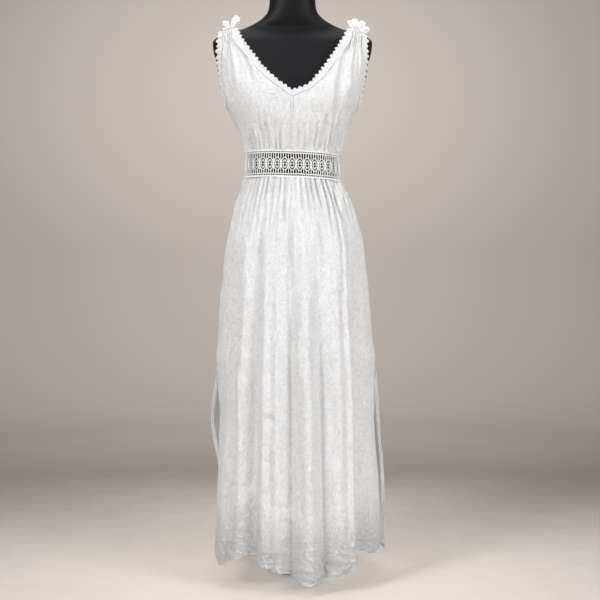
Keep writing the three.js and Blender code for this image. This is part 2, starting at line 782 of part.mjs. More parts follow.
function solid(geometry) {
  const places = new Map();
  const vertices = [];
  const renamed = [];
  const position = geometry.getAttribute('position');
  for (let i = 0; i < position.count; i += 1) {
    const place = [position.getX(i), position.getY(i), position.getZ(i)];
    const key = place.map((value) => Math.round(value * 1e4)).join(' ');
    if (!places.has(key)) {
      places.set(key, vertices.length / 3);
      vertices.push(...place);
    }
    renamed.push(places.get(key));
  }
  const corners = geometry.index ? [...geometry.index.array] : renamed.map((_, i) => i);
  const triangles = [];
  for (let i = 0; i < corners.length; i += 3) {
    const [a, b, c] = [0, 1, 2].map((k) => renamed[corners[i + k]]);
    if (a !== b && b !== c && c !== a) triangles.push(a, b, c);
  }
  const vertProperties = new Float32Array(vertices);
  const triVerts = new Uint32Array(triangles);
  return new wasm.Manifold(new wasm.Mesh({ numProp: 3, vertProperties, triVerts }));
}

function shoulderTie(side) {
  let tie = solid(tieKnot(tieKnots[side]));
  for (const loop of tieLoops[side]) tie = tie.add(solid(tieLoop(loop)));
  const mesh = tie.getMesh();
  const geometry = new THREE.BufferGeometry();
  geometry.setAttribute('position', new THREE.BufferAttribute(mesh.vertProperties, 3));
  geometry.setIndex(new THREE.BufferAttribute(mesh.triVerts, 1));
  return geometry;
}

const group = new THREE.Group();

function place(name, geometry, material) {
  const mesh = new THREE.Mesh(geometry, new THREE.MeshStandardMaterial(materials[material]));
  mesh.name = name;
  group.add(mesh);
}

place('stand_base', base(), 'glass');
place('stand_flange', flange(), 'steel');
place('stand_pole', pole(), 'steel');
place('form_torso', formTorso(), 'formSkin');
place('form_neck_cap', neckCap(), 'formSkin');

place('bodice_front_left', bodiceFront(-1), 'gauze');
place('bodice_front_right', bodiceFront(1), 'gauze');
place('bodice_front_seam', frontSeam(), 'gauze');
place('bodice_back', bodiceBack(), 'gauze');

place('waist_lace_front', waistLace(-1), 'crochet');
place('waist_lace_back', waistLace(1), 'crochet');

const frontCut = { rows: skirtFrontRows, folds: skirtFrontFolds, hem: hemFront, face: -1, gathers: 28 };
const backCut = { rows: skirtBackRows, folds: skirtBackFolds, hem: hemBack, face: 1, gathers: 21 };
place('skirt_front', skirtPanel(frontCut), 'gauze');
place('skirt_back', skirtPanel(backCut), 'gauze');

place('neck_edging_left', edgingStrip(neckEdging(-1, -1)), 'crochet');
place('neck_edging_right', edgingStrip(neckEdging(1, -1)), 'crochet');
place('neck_edging_back', neckBackEdging(), 'crochet');
place('armhole_edging_left', armholeEdging(-1), 'crochet');
place('armhole_edging_right', armholeEdging(1), 'crochet');

place('shoulder_tie_left', shoulderTie('left'), 'gauze');
place('shoulder_tie_right', shoulderTie('right'), 'gauze');

export default group;
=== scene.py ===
# White gauze sundress on a limbless dress form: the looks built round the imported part.
# Metres, +Z up, front of the dress towards -Y. The tables are in millimetres.
import math

import bpy
import numpy as np
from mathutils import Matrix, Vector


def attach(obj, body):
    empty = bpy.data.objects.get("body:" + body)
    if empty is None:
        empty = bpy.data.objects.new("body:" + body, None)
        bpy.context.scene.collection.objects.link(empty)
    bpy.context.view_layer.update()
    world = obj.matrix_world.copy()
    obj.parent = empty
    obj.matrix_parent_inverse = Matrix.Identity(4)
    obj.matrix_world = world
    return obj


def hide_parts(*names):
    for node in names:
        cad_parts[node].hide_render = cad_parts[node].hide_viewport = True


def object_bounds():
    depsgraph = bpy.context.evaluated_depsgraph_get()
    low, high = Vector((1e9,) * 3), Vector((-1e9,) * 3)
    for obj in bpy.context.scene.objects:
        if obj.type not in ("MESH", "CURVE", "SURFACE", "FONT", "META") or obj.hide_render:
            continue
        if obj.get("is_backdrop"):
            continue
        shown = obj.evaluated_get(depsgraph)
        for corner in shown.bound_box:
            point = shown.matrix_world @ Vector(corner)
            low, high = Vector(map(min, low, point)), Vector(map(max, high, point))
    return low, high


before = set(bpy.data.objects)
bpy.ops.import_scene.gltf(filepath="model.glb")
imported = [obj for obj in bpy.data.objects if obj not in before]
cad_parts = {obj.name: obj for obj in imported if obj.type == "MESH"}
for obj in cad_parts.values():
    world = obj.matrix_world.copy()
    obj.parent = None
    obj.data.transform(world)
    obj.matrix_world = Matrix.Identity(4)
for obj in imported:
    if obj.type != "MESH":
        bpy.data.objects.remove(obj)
cadBox = [list(corner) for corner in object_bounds()]
mm = 0.001
scene = bpy.context.scene

photoView = {"place": (0.01875, -2.5, 0.68), "lens": 60, "sensor": 36}


def placeCamera(view):
    data = bpy.data.cameras.new("photoCamera")
    data.lens = view["lens"]
    data.sensor_width = view["sensor"]
    camera = bpy.data.objects.new("photoCamera", data)
    camera.location = view["place"]
    camera.rotation_euler = (math.pi / 2, 0, 0)  # level, looking along +Y
    scene.collection.objects.link(camera)
    scene.camera = camera


placeCamera(photoView)
print("camera placed")


def table(names, *rows):
    # named columns from rows of numbers
    return dict(zip(names.split(), np.array(rows, float).T))


def stacked(*columns):
    # columns of numbers joined into points, each spread to the shape that they share
    return np.stack(np.broadcast_arrays(*columns), -1)


def rowOf(start, end, count):
    return np.linspace(start, end, count)[None, :]


def fullTurn(count):
    return (np.arange(count) / count * 2 * np.pi)[None, :]


def blend(start, end, share):
    return start + (end - start) * share


def signedPower(value, power):
    return np.sign(value) * np.abs(value) ** power


def ease(share):
    # a smooth step: 3t squared less 2t cubed, held at 0 and 1 outside
    t = np.clip(share, 0, 1)
    return t * t * (3 - 2 * t)


def readAt(rows, name, at):
    # piecewise cubic through one column of a table against its first column; the slope at a row is
    # the harmonic mean of the slopes beside it, so the curve never overshoots its rows
    k, v = next(iter(rows.values())), rows[name]
    span = np.diff(k)
    slope = np.diff(v) / span
    product = slope[:-1] * slope[1:]
    total = np.where(product > 0, slope[:-1] + slope[1:], 1)
    inner = np.where(product > 0, 2 * product / total, 0)
    lean = np.concatenate([slope[:1], inner, slope[-1:]])
    at = np.clip(at, k[0], k[-1])
    i = np.clip(np.searchsorted(k, at, side="right") - 1, 0, len(k) - 2)
    t = (at - k[i]) / span[i]
    start = v[i] * (1 + 2 * t) + lean[i] * span[i] * t
    end = v[i + 1] * (3 - 2 * t) + lean[i + 1] * span[i] * (t - 1)
    return start * (1 - t) ** 2 + end * t * t


def unit(vectors):
    return vectors / np.maximum(np.linalg.norm(vectors, axis=-1, keepdims=True), 1e-9)


def turnedTo(vectors, towards):
    # vectors reversed where they point away from the given ones
    return np.where((vectors * towards).sum(-1, keepdims=True) < 0, -vectors, vectors)


def runAlong(path):
    # distance along a path, or along each of many, from its first point to every point
    step = np.linalg.norm(np.diff(path, axis=-2), axis=-1)
    return np.insert(np.cumsum(step, -1), 0, 0, -1)


def waver(seed, a, b, cellA, cellB):
    # smooth chance relief from -1 to 1: random values on a lattice, eased between its corners
    values = np.random.default_rng(seed).uniform(-1, 1, (128, 128))
    x, y = a / cellA, b / cellB
    i, j = np.floor(x).astype(int), np.floor(y).astype(int)
    u, v = ease(x - i), ease(y - j)
    corner = lambda m, n: values[(i + m) % 128, (j + n) % 128]
    low = blend(corner(0, 0), corner(1, 0), u)
    high = blend(corner(0, 1), corner(1, 1), u)
    return blend(low, high, v)


def waverAlong(seed, a, cell):
    # the same along one direction only
    return waver(seed, a, 0 * a, cell, 1)


def softRelief(seed, layers, x, z):
    # layers of chance relief, each (rise, cell across, cell down) with a seed of its own
    return sum(rise * waver(seed + k, x, z, *cell) for k, (rise, *cell) in enumerate(layers))


creaseColumns = "x0 z0 x1 z1 bend width rise"
creaseGain, creaseSpread = 1.6, 1.25  # every crease is this much deeper and wider than its row says


def creaseRelief(rows, x, z):
    # each crease is a bell across a line that bows by its bend, fading to nothing at both ends
    total = np.zeros(np.broadcast(x, z).shape)
    for x0, z0, x1, z1, bend, width, rise in zip(*rows.values()):
        alongX, alongZ = x1 - x0, z1 - z0
        length = math.hypot(alongX, alongZ)
        place = ((x - x0) * alongX + (z - z0) * alongZ) / length ** 2
        inside = np.clip(place, 0, 1)
        bow = bend * 4 * inside * (1 - inside)
        off = ((x - x0) * alongZ - (z - z0) * alongX) / length - bow
        fade = np.sin(np.pi * inside) ** 0.6
        total += creaseGain * rise * fade * np.exp(-((off / width / creaseSpread) ** 2))
    return total


def pinch(turns):
    # a gathered edge: round ridges with sharp valleys between them, from -1 to 1
    return 2 * np.abs(np.cos(np.pi * turns)) ** 1.1 - 1


def scatterCreases(seed, count, spanX, spanZ, lengths, slant, widths, rises):
    # short creases at seeded chance places, their slant in degrees from level
    rng = np.random.default_rng(seed)
    x, z = rng.uniform(*spanX, count), rng.uniform(*spanZ, count)
    length, angle = rng.uniform(*lengths, count), np.radians(rng.uniform(*slant, count))
    reachX, reachZ = length * np.cos(angle), length * np.sin(angle)
    bend = length * rng.uniform(-0.12, 0.12, count)
    rise = rng.uniform(*rises, count) * rng.choice([-1, -1, 1], count)
    columns = [x, z, x + reachX, z + reachZ, bend, rng.uniform(*widths, count), rise]
    return dict(zip(creaseColumns.split(), columns))


def gridNormals(points):
    # cross product of the steps along and down a grid, turned away from the upright axis
    down, across = np.gradient(points, axis=0), np.gradient(points, axis=1)
    return turnedTo(unit(np.cross(across, down)), points * [1, 1, 0])


def gridQuads(rows, columns, closed=False):
    # four corners of each cell of a grid of points given row by row
    wide = columns if closed else columns - 1
    i, j = np.meshgrid(np.arange(wide), np.arange(rows - 1))
    a, b = j * columns + i, j * columns + (i + 1) % columns
    return np.stack([a, b, b + columns, a + columns], -1).reshape(-1, 4)


def meshFrom(name, parts, material):
    # parts are (points in mm, quads, cloth coordinates in mm) made into one mesh
    points, quads, cloth = zip(*parts)
    starts = np.cumsum([0] + [p.size // 3 for p in points[:-1]])
    points = np.concatenate([p.reshape(-1, 3) for p in points]) * mm
    cloth = np.concatenate([c.reshape(-1, 2) for c in cloth]) * mm
    quads = np.concatenate([q + start for q, start in zip(quads, starts)])
    mesh = bpy.data.meshes.new(name)
    mesh.from_pydata(points.tolist(), [], quads.tolist())
    layer = mesh.uv_layers.new(name="cloth")
    corners = np.empty(len(mesh.loops), np.int32)
    mesh.loops.foreach_get("vertex_index", corners)
    layer.data.foreach_set("uv", cloth[corners].ravel().astype(np.float32))
    mesh.polygons.foreach_set("use_smooth", np.full(len(mesh.polygons), True))
    mesh.materials.append(material)
    mesh.update()
    mesh.validate()
    piece = bpy.data.objects.new(name, mesh)
    scene.collection.objects.link(piece)
    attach(piece, "root")
    return piece


def giveThickness(piece, thickness):
    wall = piece.modifiers.new("thickness", "SOLIDIFY")
    wall.thickness = thickness * mm
    wall.offset = 0


def clothSheet(name, points, cloth, thickness, material, quads=None):
    # a grid of points as a sheet whose faces look away from the form, given its thickness
    if quads is None:
        quads = gridQuads(*points.shape[:2])
    flat = points.reshape(-1, 3)
    a, b, d = (flat[quads[:, k]] for k in (0, 1, 3))
    facing = (np.cross(b - a, d - a) * (a * [1, 1, 0])).sum()
    if facing < 0:
        quads = quads[:, ::-1]
    piece = meshFrom(name, [(points, quads, cloth)], material)
    giveThickness(piece, thickness)
    return piece


def tubes(centre, lift, radius, sides=4, closed=False):
    # a ring of points round each place of many paths: lift is the direction that the yarn faces
    if closed:
        tangent = unit(np.roll(centre, -1, 1) - np.roll(centre, 1, 1))
    else:
        tangent = unit(np.gradient(centre, axis=1))
    side = unit(np.cross(tangent, lift))
    up = np.cross(side, tangent)
    angle = np.arange(sides) * 2 * np.pi / sides + np.pi / sides
    ring = np.cos(angle)[:, None] * side[..., None, :] + np.sin(angle)[:, None] * up[..., None, :]
    radius = np.broadcast_to(radius, centre.shape[:2])[..., None, None]
    points = centre[..., None, :] + radius * ring
    count, steps = centre.shape[:2]
    each = gridQuads(steps + closed, sides, closed=True)
    if closed:
        each = each % (steps * sides)
    else:  # both ends are closed by one quad for each two sides past the second
        ends = np.array([[0, k + 3, k + 2, k + 1] for k in range(0, sides - 2, 2)])
        each = np.concatenate([each, ends, ends[:, [0, 3, 2, 1]] + (steps - 1) * sides])
    quads = (each[None] + np.arange(count)[:, None, None] * steps * sides).reshape(-1, 4)
    cloth = stacked(runAlong(centre)[..., None], np.arange(sides) / sides * 6)
    return points, quads, cloth


def feed(tree, sockets, inputs):
    # each named socket gets a link or a value
    for name, value in inputs.items():
        if isinstance(value, bpy.types.NodeSocket):
            tree.links.new(value, sockets[name])
        else:
            sockets[name].default_value = value


def addNode(tree, kind, inputs=None, **settings):
    node = tree.nodes.new("ShaderNode" + kind)
    for name, value in settings.items():
        setattr(node, name, value)
    feed(tree, node.inputs, inputs or {})
    return node


def startGroup(name, place, amounts, results):
    # a place goes in with some amounts, and numbers come out
    tree = bpy.data.node_groups.new(name, "ShaderNodeTree")
    tree.interface.new_socket(place, in_out="INPUT", socket_type="NodeSocketVector")
    for label, value in amounts.items():
        socket = tree.interface.new_socket(label, in_out="INPUT", socket_type="NodeSocketFloat")
        socket.default_value = value
    for label in results.split():
        tree.interface.new_socket(label, in_out="OUTPUT", socket_type="NodeSocketFloat")
    return tree, tree.nodes.new("NodeGroupInput").outputs, tree.nodes.new("NodeGroupOutput").inputs


def math2(tree, operation, a, b=0.0):
    return addNode(tree, "Math", {0: a, 1: b}, operation=operation).outputs[0]


def times(tree, a, b):
    return math2(tree, "MULTIPLY", a, b)


def axesOf(tree, place):
    return addNode(tree, "SeparateXYZ", {0: place}).outputs


def stretched(tree, place, by):
    # a place with each of its coordinates multiplied
    return addNode(tree, "VectorMath", {0: place, 1: by}, operation="MULTIPLY").outputs[0]


def addNoise(tree, place, scale, detail, **more):
    inputs = {"Vector": place, "Scale": scale, "Detail": detail, **more}
    return addNode(tree, "TexNoise", inputs).outputs["Fac"]


def remapped(tree, value, low, high, start=0.0, end=1.0, **settings):
    # low to high becomes start to end, held outside
    inputs = {"Value": value, 1: low, 2: high, 3: start, 4: end}
    return addNode(tree, "MapRange", inputs, **settings).outputs[0]


def buildWeave():
    # a plain weave: product of two sines, one along each thread direction, with uneven threads
    tree, given, out = startGroup("plainWeave", "Cloth", {"Pitch": 0.0009}, "Height Slub")
    threads, slubs = [], []
    for axis, along in (("X", (60, 2600, 1)), ("Y", (2600, 60, 1))):
        turns = math2(tree, "DIVIDE", axesOf(tree, given["Cloth"])[axis], given["Pitch"])
        threads.append(math2(tree, "SINE", times(tree, turns, math.pi)))
        slubs.append(addNoise(tree, stretched(tree, given["Cloth"], along), 0.35, 2.0))
    feed(tree, out, {"Height": times(tree, *threads), "Slub": math2(tree, "MAXIMUM", *slubs)})
    return tree


def buildCrinkle():
    # crepe-like crinkle: warped noise drawn out along the warp, with sharper small creases over it, and
    # a mask of thin lines for painted crease shade
    amounts = {"Size": 0.02, "Stretch": 2.0}
    tree, given, out = startGroup("gauzeCrinkle", "Place", amounts, "Height Mottle")
    upright = math2(tree, "DIVIDE", 1.0, given["Stretch"])
    along = addNode(tree, "CombineXYZ", {0: 1.0, 1: 1.0, 2: upright}).outputs[0]
    place = stretched(tree, given["Place"], along)
    scale = math2(tree, "DIVIDE", 1.0, given["Size"])
    broad = addNoise(tree, place, scale, 4.0, Roughness=0.6, Distortion=0.8)
    fine = addNoise(tree, given["Place"], times(tree, scale, 2.7), 3.0, Distortion=1.6)
    fromMiddle = lambda noise: math2(tree, "ABSOLUTE", math2(tree, "SUBTRACT", noise, 0.5))
    # a net of thin crease lines where a second noise passes its middle value; the mask is 0 on the
    # lines, where the cloth takes its shade colour as painted crease shade
    net = addNoise(tree, place, times(tree, scale, 0.8), 3.0, Distortion=1.2)
    feed(tree, out, {
        "Height": math2(tree, "SUBTRACT", broad, times(tree, fromMiddle(fine), 1.8)),
        "Mottle": remapped(tree, fromMiddle(net), 0.0, 0.05)})
    return tree


def buildGrain():
    # fine grain for hard surfaces: small noise for height and a broad one for smudges
    tree, given, out = startGroup("surfaceGrain", "Place", {"Scale": 900.0}, "Height Smudge")
    feed(tree, out, {
        "Height": addNoise(tree, given["Place"], given["Scale"], 3.0),
        "Smudge": addNoise(tree, given["Place"], 9.0, 5.0)})
    return tree


weaveGroup, crinkleGroup, grainGroup = buildWeave(), buildCrinkle(), buildGrain()


def startMaterial(name, finish):
    material = bpy.data.materials.new(name)
    material.use_nodes = True
    tree = material.node_tree
    sockets = tree.nodes["Principled BSDF"].inputs
    feed(tree, sockets, finish)
    return material, tree, sockets, addNode(tree, "TexCoord").outputs["Object"]


def useGroup(tree, group, inputs):
    return addNode(tree, "Group", inputs, node_tree=group).outputs


def stackBumps(tree, layers):
    # one bump over another: (height socket, distance in metres, strength)
    normal = None
    for height, distance, strength in layers:
        inputs = {"Height": height, "Distance": distance, "Strength": strength}
        if normal:
            inputs["Normal"] = normal
        normal = addNode(tree, "Bump", inputs).outputs[0]
    return normal


def mixColours(tree, factor, a, b):
    return addNode(tree, "Mix", {0: factor, 6: a, 7: b}, data_type="RGBA").outputs[2]


def letLightThrough(material, tint, share):
    # a share of the light passes straight through glass or open cloth on its way from the lamps
    tree = material.node_tree
    body = tree.nodes["Principled BSDF"].outputs[0]
    clear = addNode(tree, "BsdfTransparent", {"Color": tint}).outputs[0]
    ray = times(tree, addNode(tree, "LightPath").outputs["Is Shadow Ray"], share)
    mix = addNode(tree, "MixShader", {0: ray, 1: body, 2: clear}).outputs[0]
    feed(tree, tree.nodes["Material Output"].inputs, {"Surface": mix})


gauzeFinish = {
    "light": (0.9, 0.905, 0.91, 1), "shade": (0.74, 0.75, 0.757, 1), "pitch": 0.0011,
    "crinkleSize": 0.0085, "crinkleStretch": 1.25, "crinkleDepth": 0.0042,
    "slubDepth": 0.0003, "weaveDepth": 0.00015, "open": 0.76, "passedLight": (0.955, 0.945, 0.93, 1),
    "hemCreases": {"full": 0.03, "gone": 0.16, "size": 0.015, "stretch": 0.3, "depth": 0.0075},
    "stitches": {"height": 0.009, "halfWidth": 0.0012, "depth": 0.0008},
}


def makeGauze(name, finish):
    material, tree, sockets, where = startMaterial(name, {
        "Roughness": 0.92, "Sheen Weight": 0.15, "Sheen Roughness": 0.6, "Specular IOR Level": 0.2})
    cloth = addNode(tree, "UVMap", uv_map="cloth").outputs["UV"]
    weave = useGroup(tree, weaveGroup, {"Cloth": cloth, "Pitch": finish["pitch"]})
    crinkle = useGroup(tree, crinkleGroup, {
        "Place": where, "Size": finish["crinkleSize"], "Stretch": finish["crinkleStretch"]})
    # the lowest hand's breadth of the skirts is creased across, with a stitched line over the hem
    hem, stitches = finish["hemCreases"], finish["stitches"]
    low = axesOf(tree, cloth)["Y"]
    nearHem = remapped(tree, low, hem["full"], hem["gone"], 1.0, 0.0)
    across = useGroup(tree, crinkleGroup, {
        "Place": where, "Size": hem["size"], "Stretch": hem["stretch"]})
    band = {0: low, 1: stitches["height"], 2: stitches["halfWidth"]}
    stitched = addNode(tree, "Math", band, operation="COMPARE").outputs[0]
    # the cloth takes its shade colour along the net of crease lines: painted shade in the creases
    feed(tree, sockets, {
        "Base Color": mixColours(tree, crinkle["Mottle"], finish["shade"], finish["light"]),
        "Normal": stackBumps(tree, [
            (crinkle["Height"], finish["crinkleDepth"], 1.0),
            (times(tree, across["Height"], nearHem), hem["depth"], 1.0),
            (times(tree, stitched, -1.0), stitches["depth"], 1.0),
            (weave["Slub"], finish["slubDepth"], 0.5),
            (weave["Height"], finish["weaveDepth"], 0.6)])})
    letLightThrough(material, finish["passedLight"], finish["open"])
    return material


crochetFinish = {
    "light": (0.8, 0.8, 0.79, 1), "shade": (0.46, 0.46, 0.45, 1), "pitch": 0.0018,
    "plyDepth": 0.0007, "grainDepth": 0.0005, "grainScale": 1400.0,
}


def makeCrochet(name, finish):
    # twisted yarn: bands that lean across the yarn; the colour is painted darker between the plies as
    # painted shade in the grooves, its strength varied by the grain
    material, tree, sockets, where = startMaterial(name, {
        "Roughness": 0.9, "Sheen Weight": 0.3, "Sheen Roughness": 0.5, "Specular IOR Level": 0.2})
    split = axesOf(tree, addNode(tree, "UVMap", uv_map="cloth").outputs["UV"])
    lean = math2(tree, "ADD", split["X"], times(tree, split["Y"], 0.5))
    turns = times(tree, lean, math.pi / finish["pitch"])
    ply = math2(tree, "ABSOLUTE", math2(tree, "SINE", turns))
    grain = useGroup(tree, grainGroup, {"Place": where, "Scale": finish["grainScale"]})
    # near 0 between the plies, where the yarn takes its shade colour: painted shade in the grooves,
    # scaled by random grain
    depth = times(tree, ply, math2(tree, "ADD", grain["Height"], 0.45))
    feed(tree, sockets, {
        "Base Color": mixColours(tree, depth, finish["shade"], finish["light"]),
        "Normal": stackBumps(tree, [
            (ply, finish["plyDepth"], 1.0), (grain["Height"], finish["grainDepth"], 0.6)])})
    return material


def makeGrained(name, fixed, light, shade, roughness, scale, depth):
    # a hard surface with fine grain, faint smudges in its gloss and a little colour change
    material, tree, sockets, where = startMaterial(name, fixed)
    grain = useGroup(tree, grainGroup, {"Place": where, "Scale": scale})
    feed(tree, sockets, {
        "Base Color": mixColours(tree, grain["Smudge"], shade, light),
        "Roughness": remapped(tree, grain["Smudge"], 0.0, 1.0, *roughness),
        "Normal": stackBumps(tree, [(grain["Height"], depth, 0.5)])})
    return material


gauze = makeGauze("gauze", gauzeFinish)
tieGauze = makeGauze("tieGauze", {
    **gauzeFinish, "light": (0.87, 0.865, 0.85, 1), "shade": (0.74, 0.735, 0.72, 1),
    "crinkleSize": 0.006, "crinkleDepth": 0.002})
crochet = makeCrochet("crochet", crochetFinish)
laceYarn = makeCrochet("laceYarn", {
    **crochetFinish, "light": (0.96, 0.96, 0.95, 1), "shade": (0.84, 0.84, 0.83, 1)})
formSkin = makeGrained("formSkin", {"Specular IOR Level": 0.16}, (0.0038, 0.0041, 0.0052, 1),
                       (0.003, 0.0033, 0.0043, 1), (0.5, 0.62), 1600.0, 0.0002)
steel = makeGrained("steel", {"Metallic": 1.0}, (0.56, 0.56, 0.55, 1), (0.46, 0.46, 0.455, 1),
                    (0.24, 0.4), 1200.0, 0.00005)
glass = makeGrained("glass", {"Transmission Weight": 1.0, "IOR": 1.12, "Alpha": 0.08},
                    (0.985, 0.995, 0.99, 1), (0.975, 0.99, 0.985, 1), (0.0, 0.03), 300.0, 0.000004)
letLightThrough(glass, (0.97, 0.985, 0.98, 1), 1.0)
print("materials made")

waistTop, waistBottom, waistTilt, underarm = 1041, 980, 0.036, 1168
edgingWidth, scallopPitch, scallopDepth = 13, 13.2, 5.4
gauzeWall, edgingWall, seamGap = 1.2, 1.3, 0.3
squareness, skirtSquareness = 2.4, 2.15

formRows = table(
    "z side front back",
    (724, 118, 80, 88), (732, 131, 92, 100), (760, 143, 101, 111), (805, 149, 104, 115),
    (850, 146, 100, 111), (900, 133, 90, 99), (950, 114, 77, 83), (1010, 102, 70, 71),
    (1050, 104, 73, 71), (1100, 122, 90, 77), (1145, 144, 107, 85), (1175, 156, 108, 89),
    (1205, 168, 102, 92), (1235, 177, 91, 91), (1265, 187, 80, 87), (1300, 197, 66, 76),
    (1322, 199, 56, 64), (1333, 190, 48, 55), (1341, 171, 43, 49), (1351, 135, 40, 46),
    (1365, 100, 46, 51), (1381, 75, 50, 54), (1397, 62, 53, 56), (1415, 58, 55, 57), (1452, 56, 55, 57))
bodiceRows = table(
    "z side front back",
    (980, 117.5, 84, 84), (1041, 116, 84, 83), (1055, 117.5, 87, 83), (1080, 125, 96, 84),
    (1100, 132, 103, 86), (1130, 146, 112, 90), (1168, 165, 118, 95), (1200, 176, 113, 99),
    (1230, 184, 102, 98), (1265, 194, 89, 94), (1300, 203, 75, 84), (1325, 205, 63, 71),
    (1338, 194, 57, 64), (1346, 176, 54, 60), (1356, 139, 51, 57))
neckFront = table(
    "t x z",
    (0, 0, 1182), (0.16, 28, 1203), (0.32, 54, 1227), (0.48, 80, 1258), (0.66, 105, 1295),
    (0.84, 125, 1327), (1, 138, 1356))
neckFrontRight = table(
    "t x z",
    (0, 0, 1182), (0.16, 29, 1192), (0.32, 56, 1216), (0.48, 80, 1250), (0.66, 105, 1291),
    (0.84, 125, 1326), (1, 138, 1356))
neckBack = table(
    "t x z", (0, 0, 1262), (0.3, 50, 1270), (0.6, 93, 1297), (0.85, 124, 1333), (1, 138, 1356))
armhole = table(
    "t turn z",
    (0, 90, 1168), (0.08, 84, 1173), (0.22, 79, 1200), (0.38, 77, 1232), (0.54, 72.5, 1266),
    (0.72, 66.5, 1302), (0.88, 64, 1331), (1, 82, 1346))
armholeFront = {**armhole, "turn": armhole["turn"] - np.array([0, 0.5, 1.5, 3, 3.5, 4, 2.5, 0])}


def settle(points):
    # the waist band and what is sewn to it lean down to the right; the rest hangs level
    x, z = points[..., 0], points[..., 2]
    above = 1 - ease((z - waistTop) / (underarm - waistTop))
    below = 1 - ease((waistBottom - z) / 130)
    return points - stacked(0, 0, waistTilt * x * np.minimum(above, below))


def sectionPoint(rows, turn, z):
    # a superellipse: signed powers of the sine and cosine of the turn from the middle front
    across, along = np.sin(turn), np.cos(turn)
    power = 2 / squareness
    depth = np.where(along > 0, readAt(rows, "front", z), readAt(rows, "back", z))
    x = readAt(rows, "side", z) * signedPower(across, power)
    return stacked(x, -depth * signedPower(along, power), z)


def turnOf(points):
    x, y, z = (points[..., k] for k in range(3))
    depth = np.where(y < 0, readAt(bodiceRows, "front", z), readAt(bodiceRows, "back", z))
    across = np.abs(x / readAt(bodiceRows, "side", z)) ** (squareness / 2)
    return np.arctan2(across, np.abs(y / depth) ** (squareness / 2))


def bodicePoint(turn, z, hand, face):
    return sectionPoint(bodiceRows, hand * turn if face < 0 else hand * (np.pi - turn), z)


def neckEdge(t, hand, face):
    # the finished neckline, from its half-width and height at each share of its length
    rows = neckBack if face > 0 else (neckFront if hand < 0 else neckFrontRight)
    z = readAt(rows, "z", t)
    share = np.minimum(1, readAt(rows, "x", t) / readAt(bodiceRows, "side", z))
    turn = np.minimum(np.arcsin(share ** (squareness / 2)), math.radians(82))
    return bodicePoint(turn, z, hand, face)


def armEdge(t, hand, face):
    rows = armholeFront if face < 0 else armhole
    z = readAt(rows, "z", t)
    return bodicePoint(np.radians(readAt(rows, "turn", t)), z, hand, face)


def seamPoint(edge, opposite, t, hand, face, towards):
    # the seam one edging's width inside a finished edge; near the shoulder a share of the strap
    here = edge(t, hand, face)
    ahead, behind = np.minimum(1, t + 0.01), np.maximum(0, t - 0.01)
    along = unit(edge(ahead, hand, face) - edge(behind, hand, face))
    outward = unit(here - here * [0, 0, 1])
    inward = turnedTo(unit(np.cross(along, outward)), towards)
    mitre = 1 - ease(t / 0.1)[..., None]
    point = here + edgingWidth * blend(inward, np.array([0, 0, -1.25]), mitre)
    turn = np.minimum(turnOf(point), np.pi / 2)
    far = opposite(t, hand, face)
    share = np.minimum(edgingWidth / np.linalg.norm(here - far, axis=-1), 0.27)
    across = blend(turnOf(here), turnOf(far), share)
    nearShoulder = ease((t - 0.68) / 0.3)
    z = blend(point[..., 2], blend(here[..., 2], far[..., 2], share), nearShoulder)
    return blend(turn, across, nearShoulder), z


def bodiceOutline(hand, face, heights):
    # turn and height of the middle or neck seam and of the side or armhole seam, row by row;
    # heights run from 0 at the waist to 1 at the underarm and on to 3 at the shoulder
    t = np.clip((heights - 1) / 2, 0, 1)
    neckTurn, neckZ = seamPoint(neckEdge, armEdge, t, hand, face, np.array([hand, 0, -0.6]))
    armTurn, armZ = seamPoint(armEdge, neckEdge, t, hand, face, np.array([-hand, face * 2, -0.4]))
    low = heights < 1
    bottom = waistTop + seamGap
    inner = np.where(low, 0, neckTurn), np.where(low, blend(bottom, neckZ[0], heights), neckZ)
    outer = np.where(low, np.pi / 2, armTurn), np.where(low, blend(bottom, armZ[0], heights), armZ)
    return inner, outer


bodiceFit = {
    "bandGathers": 13.5, "gatherRise": 3.8, "gatherLength": 100,
    "shoulderPleats": 4.5, "pleatRise": 2.1, "puff": 2.0, "soft": ((1.1, 19, 34), (0.5, 8, 13)),
    "deepest": 4.6,  # no trough goes deeper, so the cloth stays off the form
}
frontCreases = table(
    creaseColumns,
    (-140, 1335, -100, 1205, -6, 3.2, -5.5), (-133, 1330, -88, 1215, -6, 5, 3),
    (-157, 1335, -142, 1165, 3, 3.4, -4.5), (-149, 1335, -130, 1190, 2, 5, 2.6),
    (-168, 1275, -148, 1165, 2, 3.2, -4.2), (-84, 1130, -62, 1045, 3, 3, -3.4),
    (-66, 1105, -52, 1043, 2, 2.6, -3.2), (-48, 1150, -34, 1060, 2, 4, -1.6),
    (148, 1335, 114, 1160, 6, 4, -4.4), (137, 1290, 105, 1120, 6, 9, -4.4),
    (150, 1330, 142, 1190, 5, 4, 3.4), (124, 1300, 96, 1130, 6, 6, 3),
    (157, 1335, 156, 1275, 2, 2.6, -4.5), (143, 1338, 139, 1280, 1, 2.4, -4),
    (84, 1130, 66, 1046, -3, 3, -3.6), (62, 1112, 50, 1044, -2, 2.6, -3.2),
    (96, 1110, 84, 1046, -3, 3, -3), (24, 1100, 20, 1043, 0, 2.4, -2.2))
backCreases = table(
    creaseColumns,
    (-148, 1330, -110, 1160, -4, 4, -4), (-126, 1310, -84, 1150, -6, 6, 2.8),
    (-160, 1320, -150, 1150, 3, 4, -3.4), (-40, 1180, -32, 1060, 2, 4, -2.4),
    (146, 1325, 118, 1150, 5, 4, -4), (122, 1300, 88, 1130, 5, 6, 2.6),
    (158, 1320, 152, 1180, 3, 3.5, -3.6), (52, 1170, 40, 1050, -2, 4, -2.6),
    (6, 1210, 2, 1080, 3, 5, -1.8))


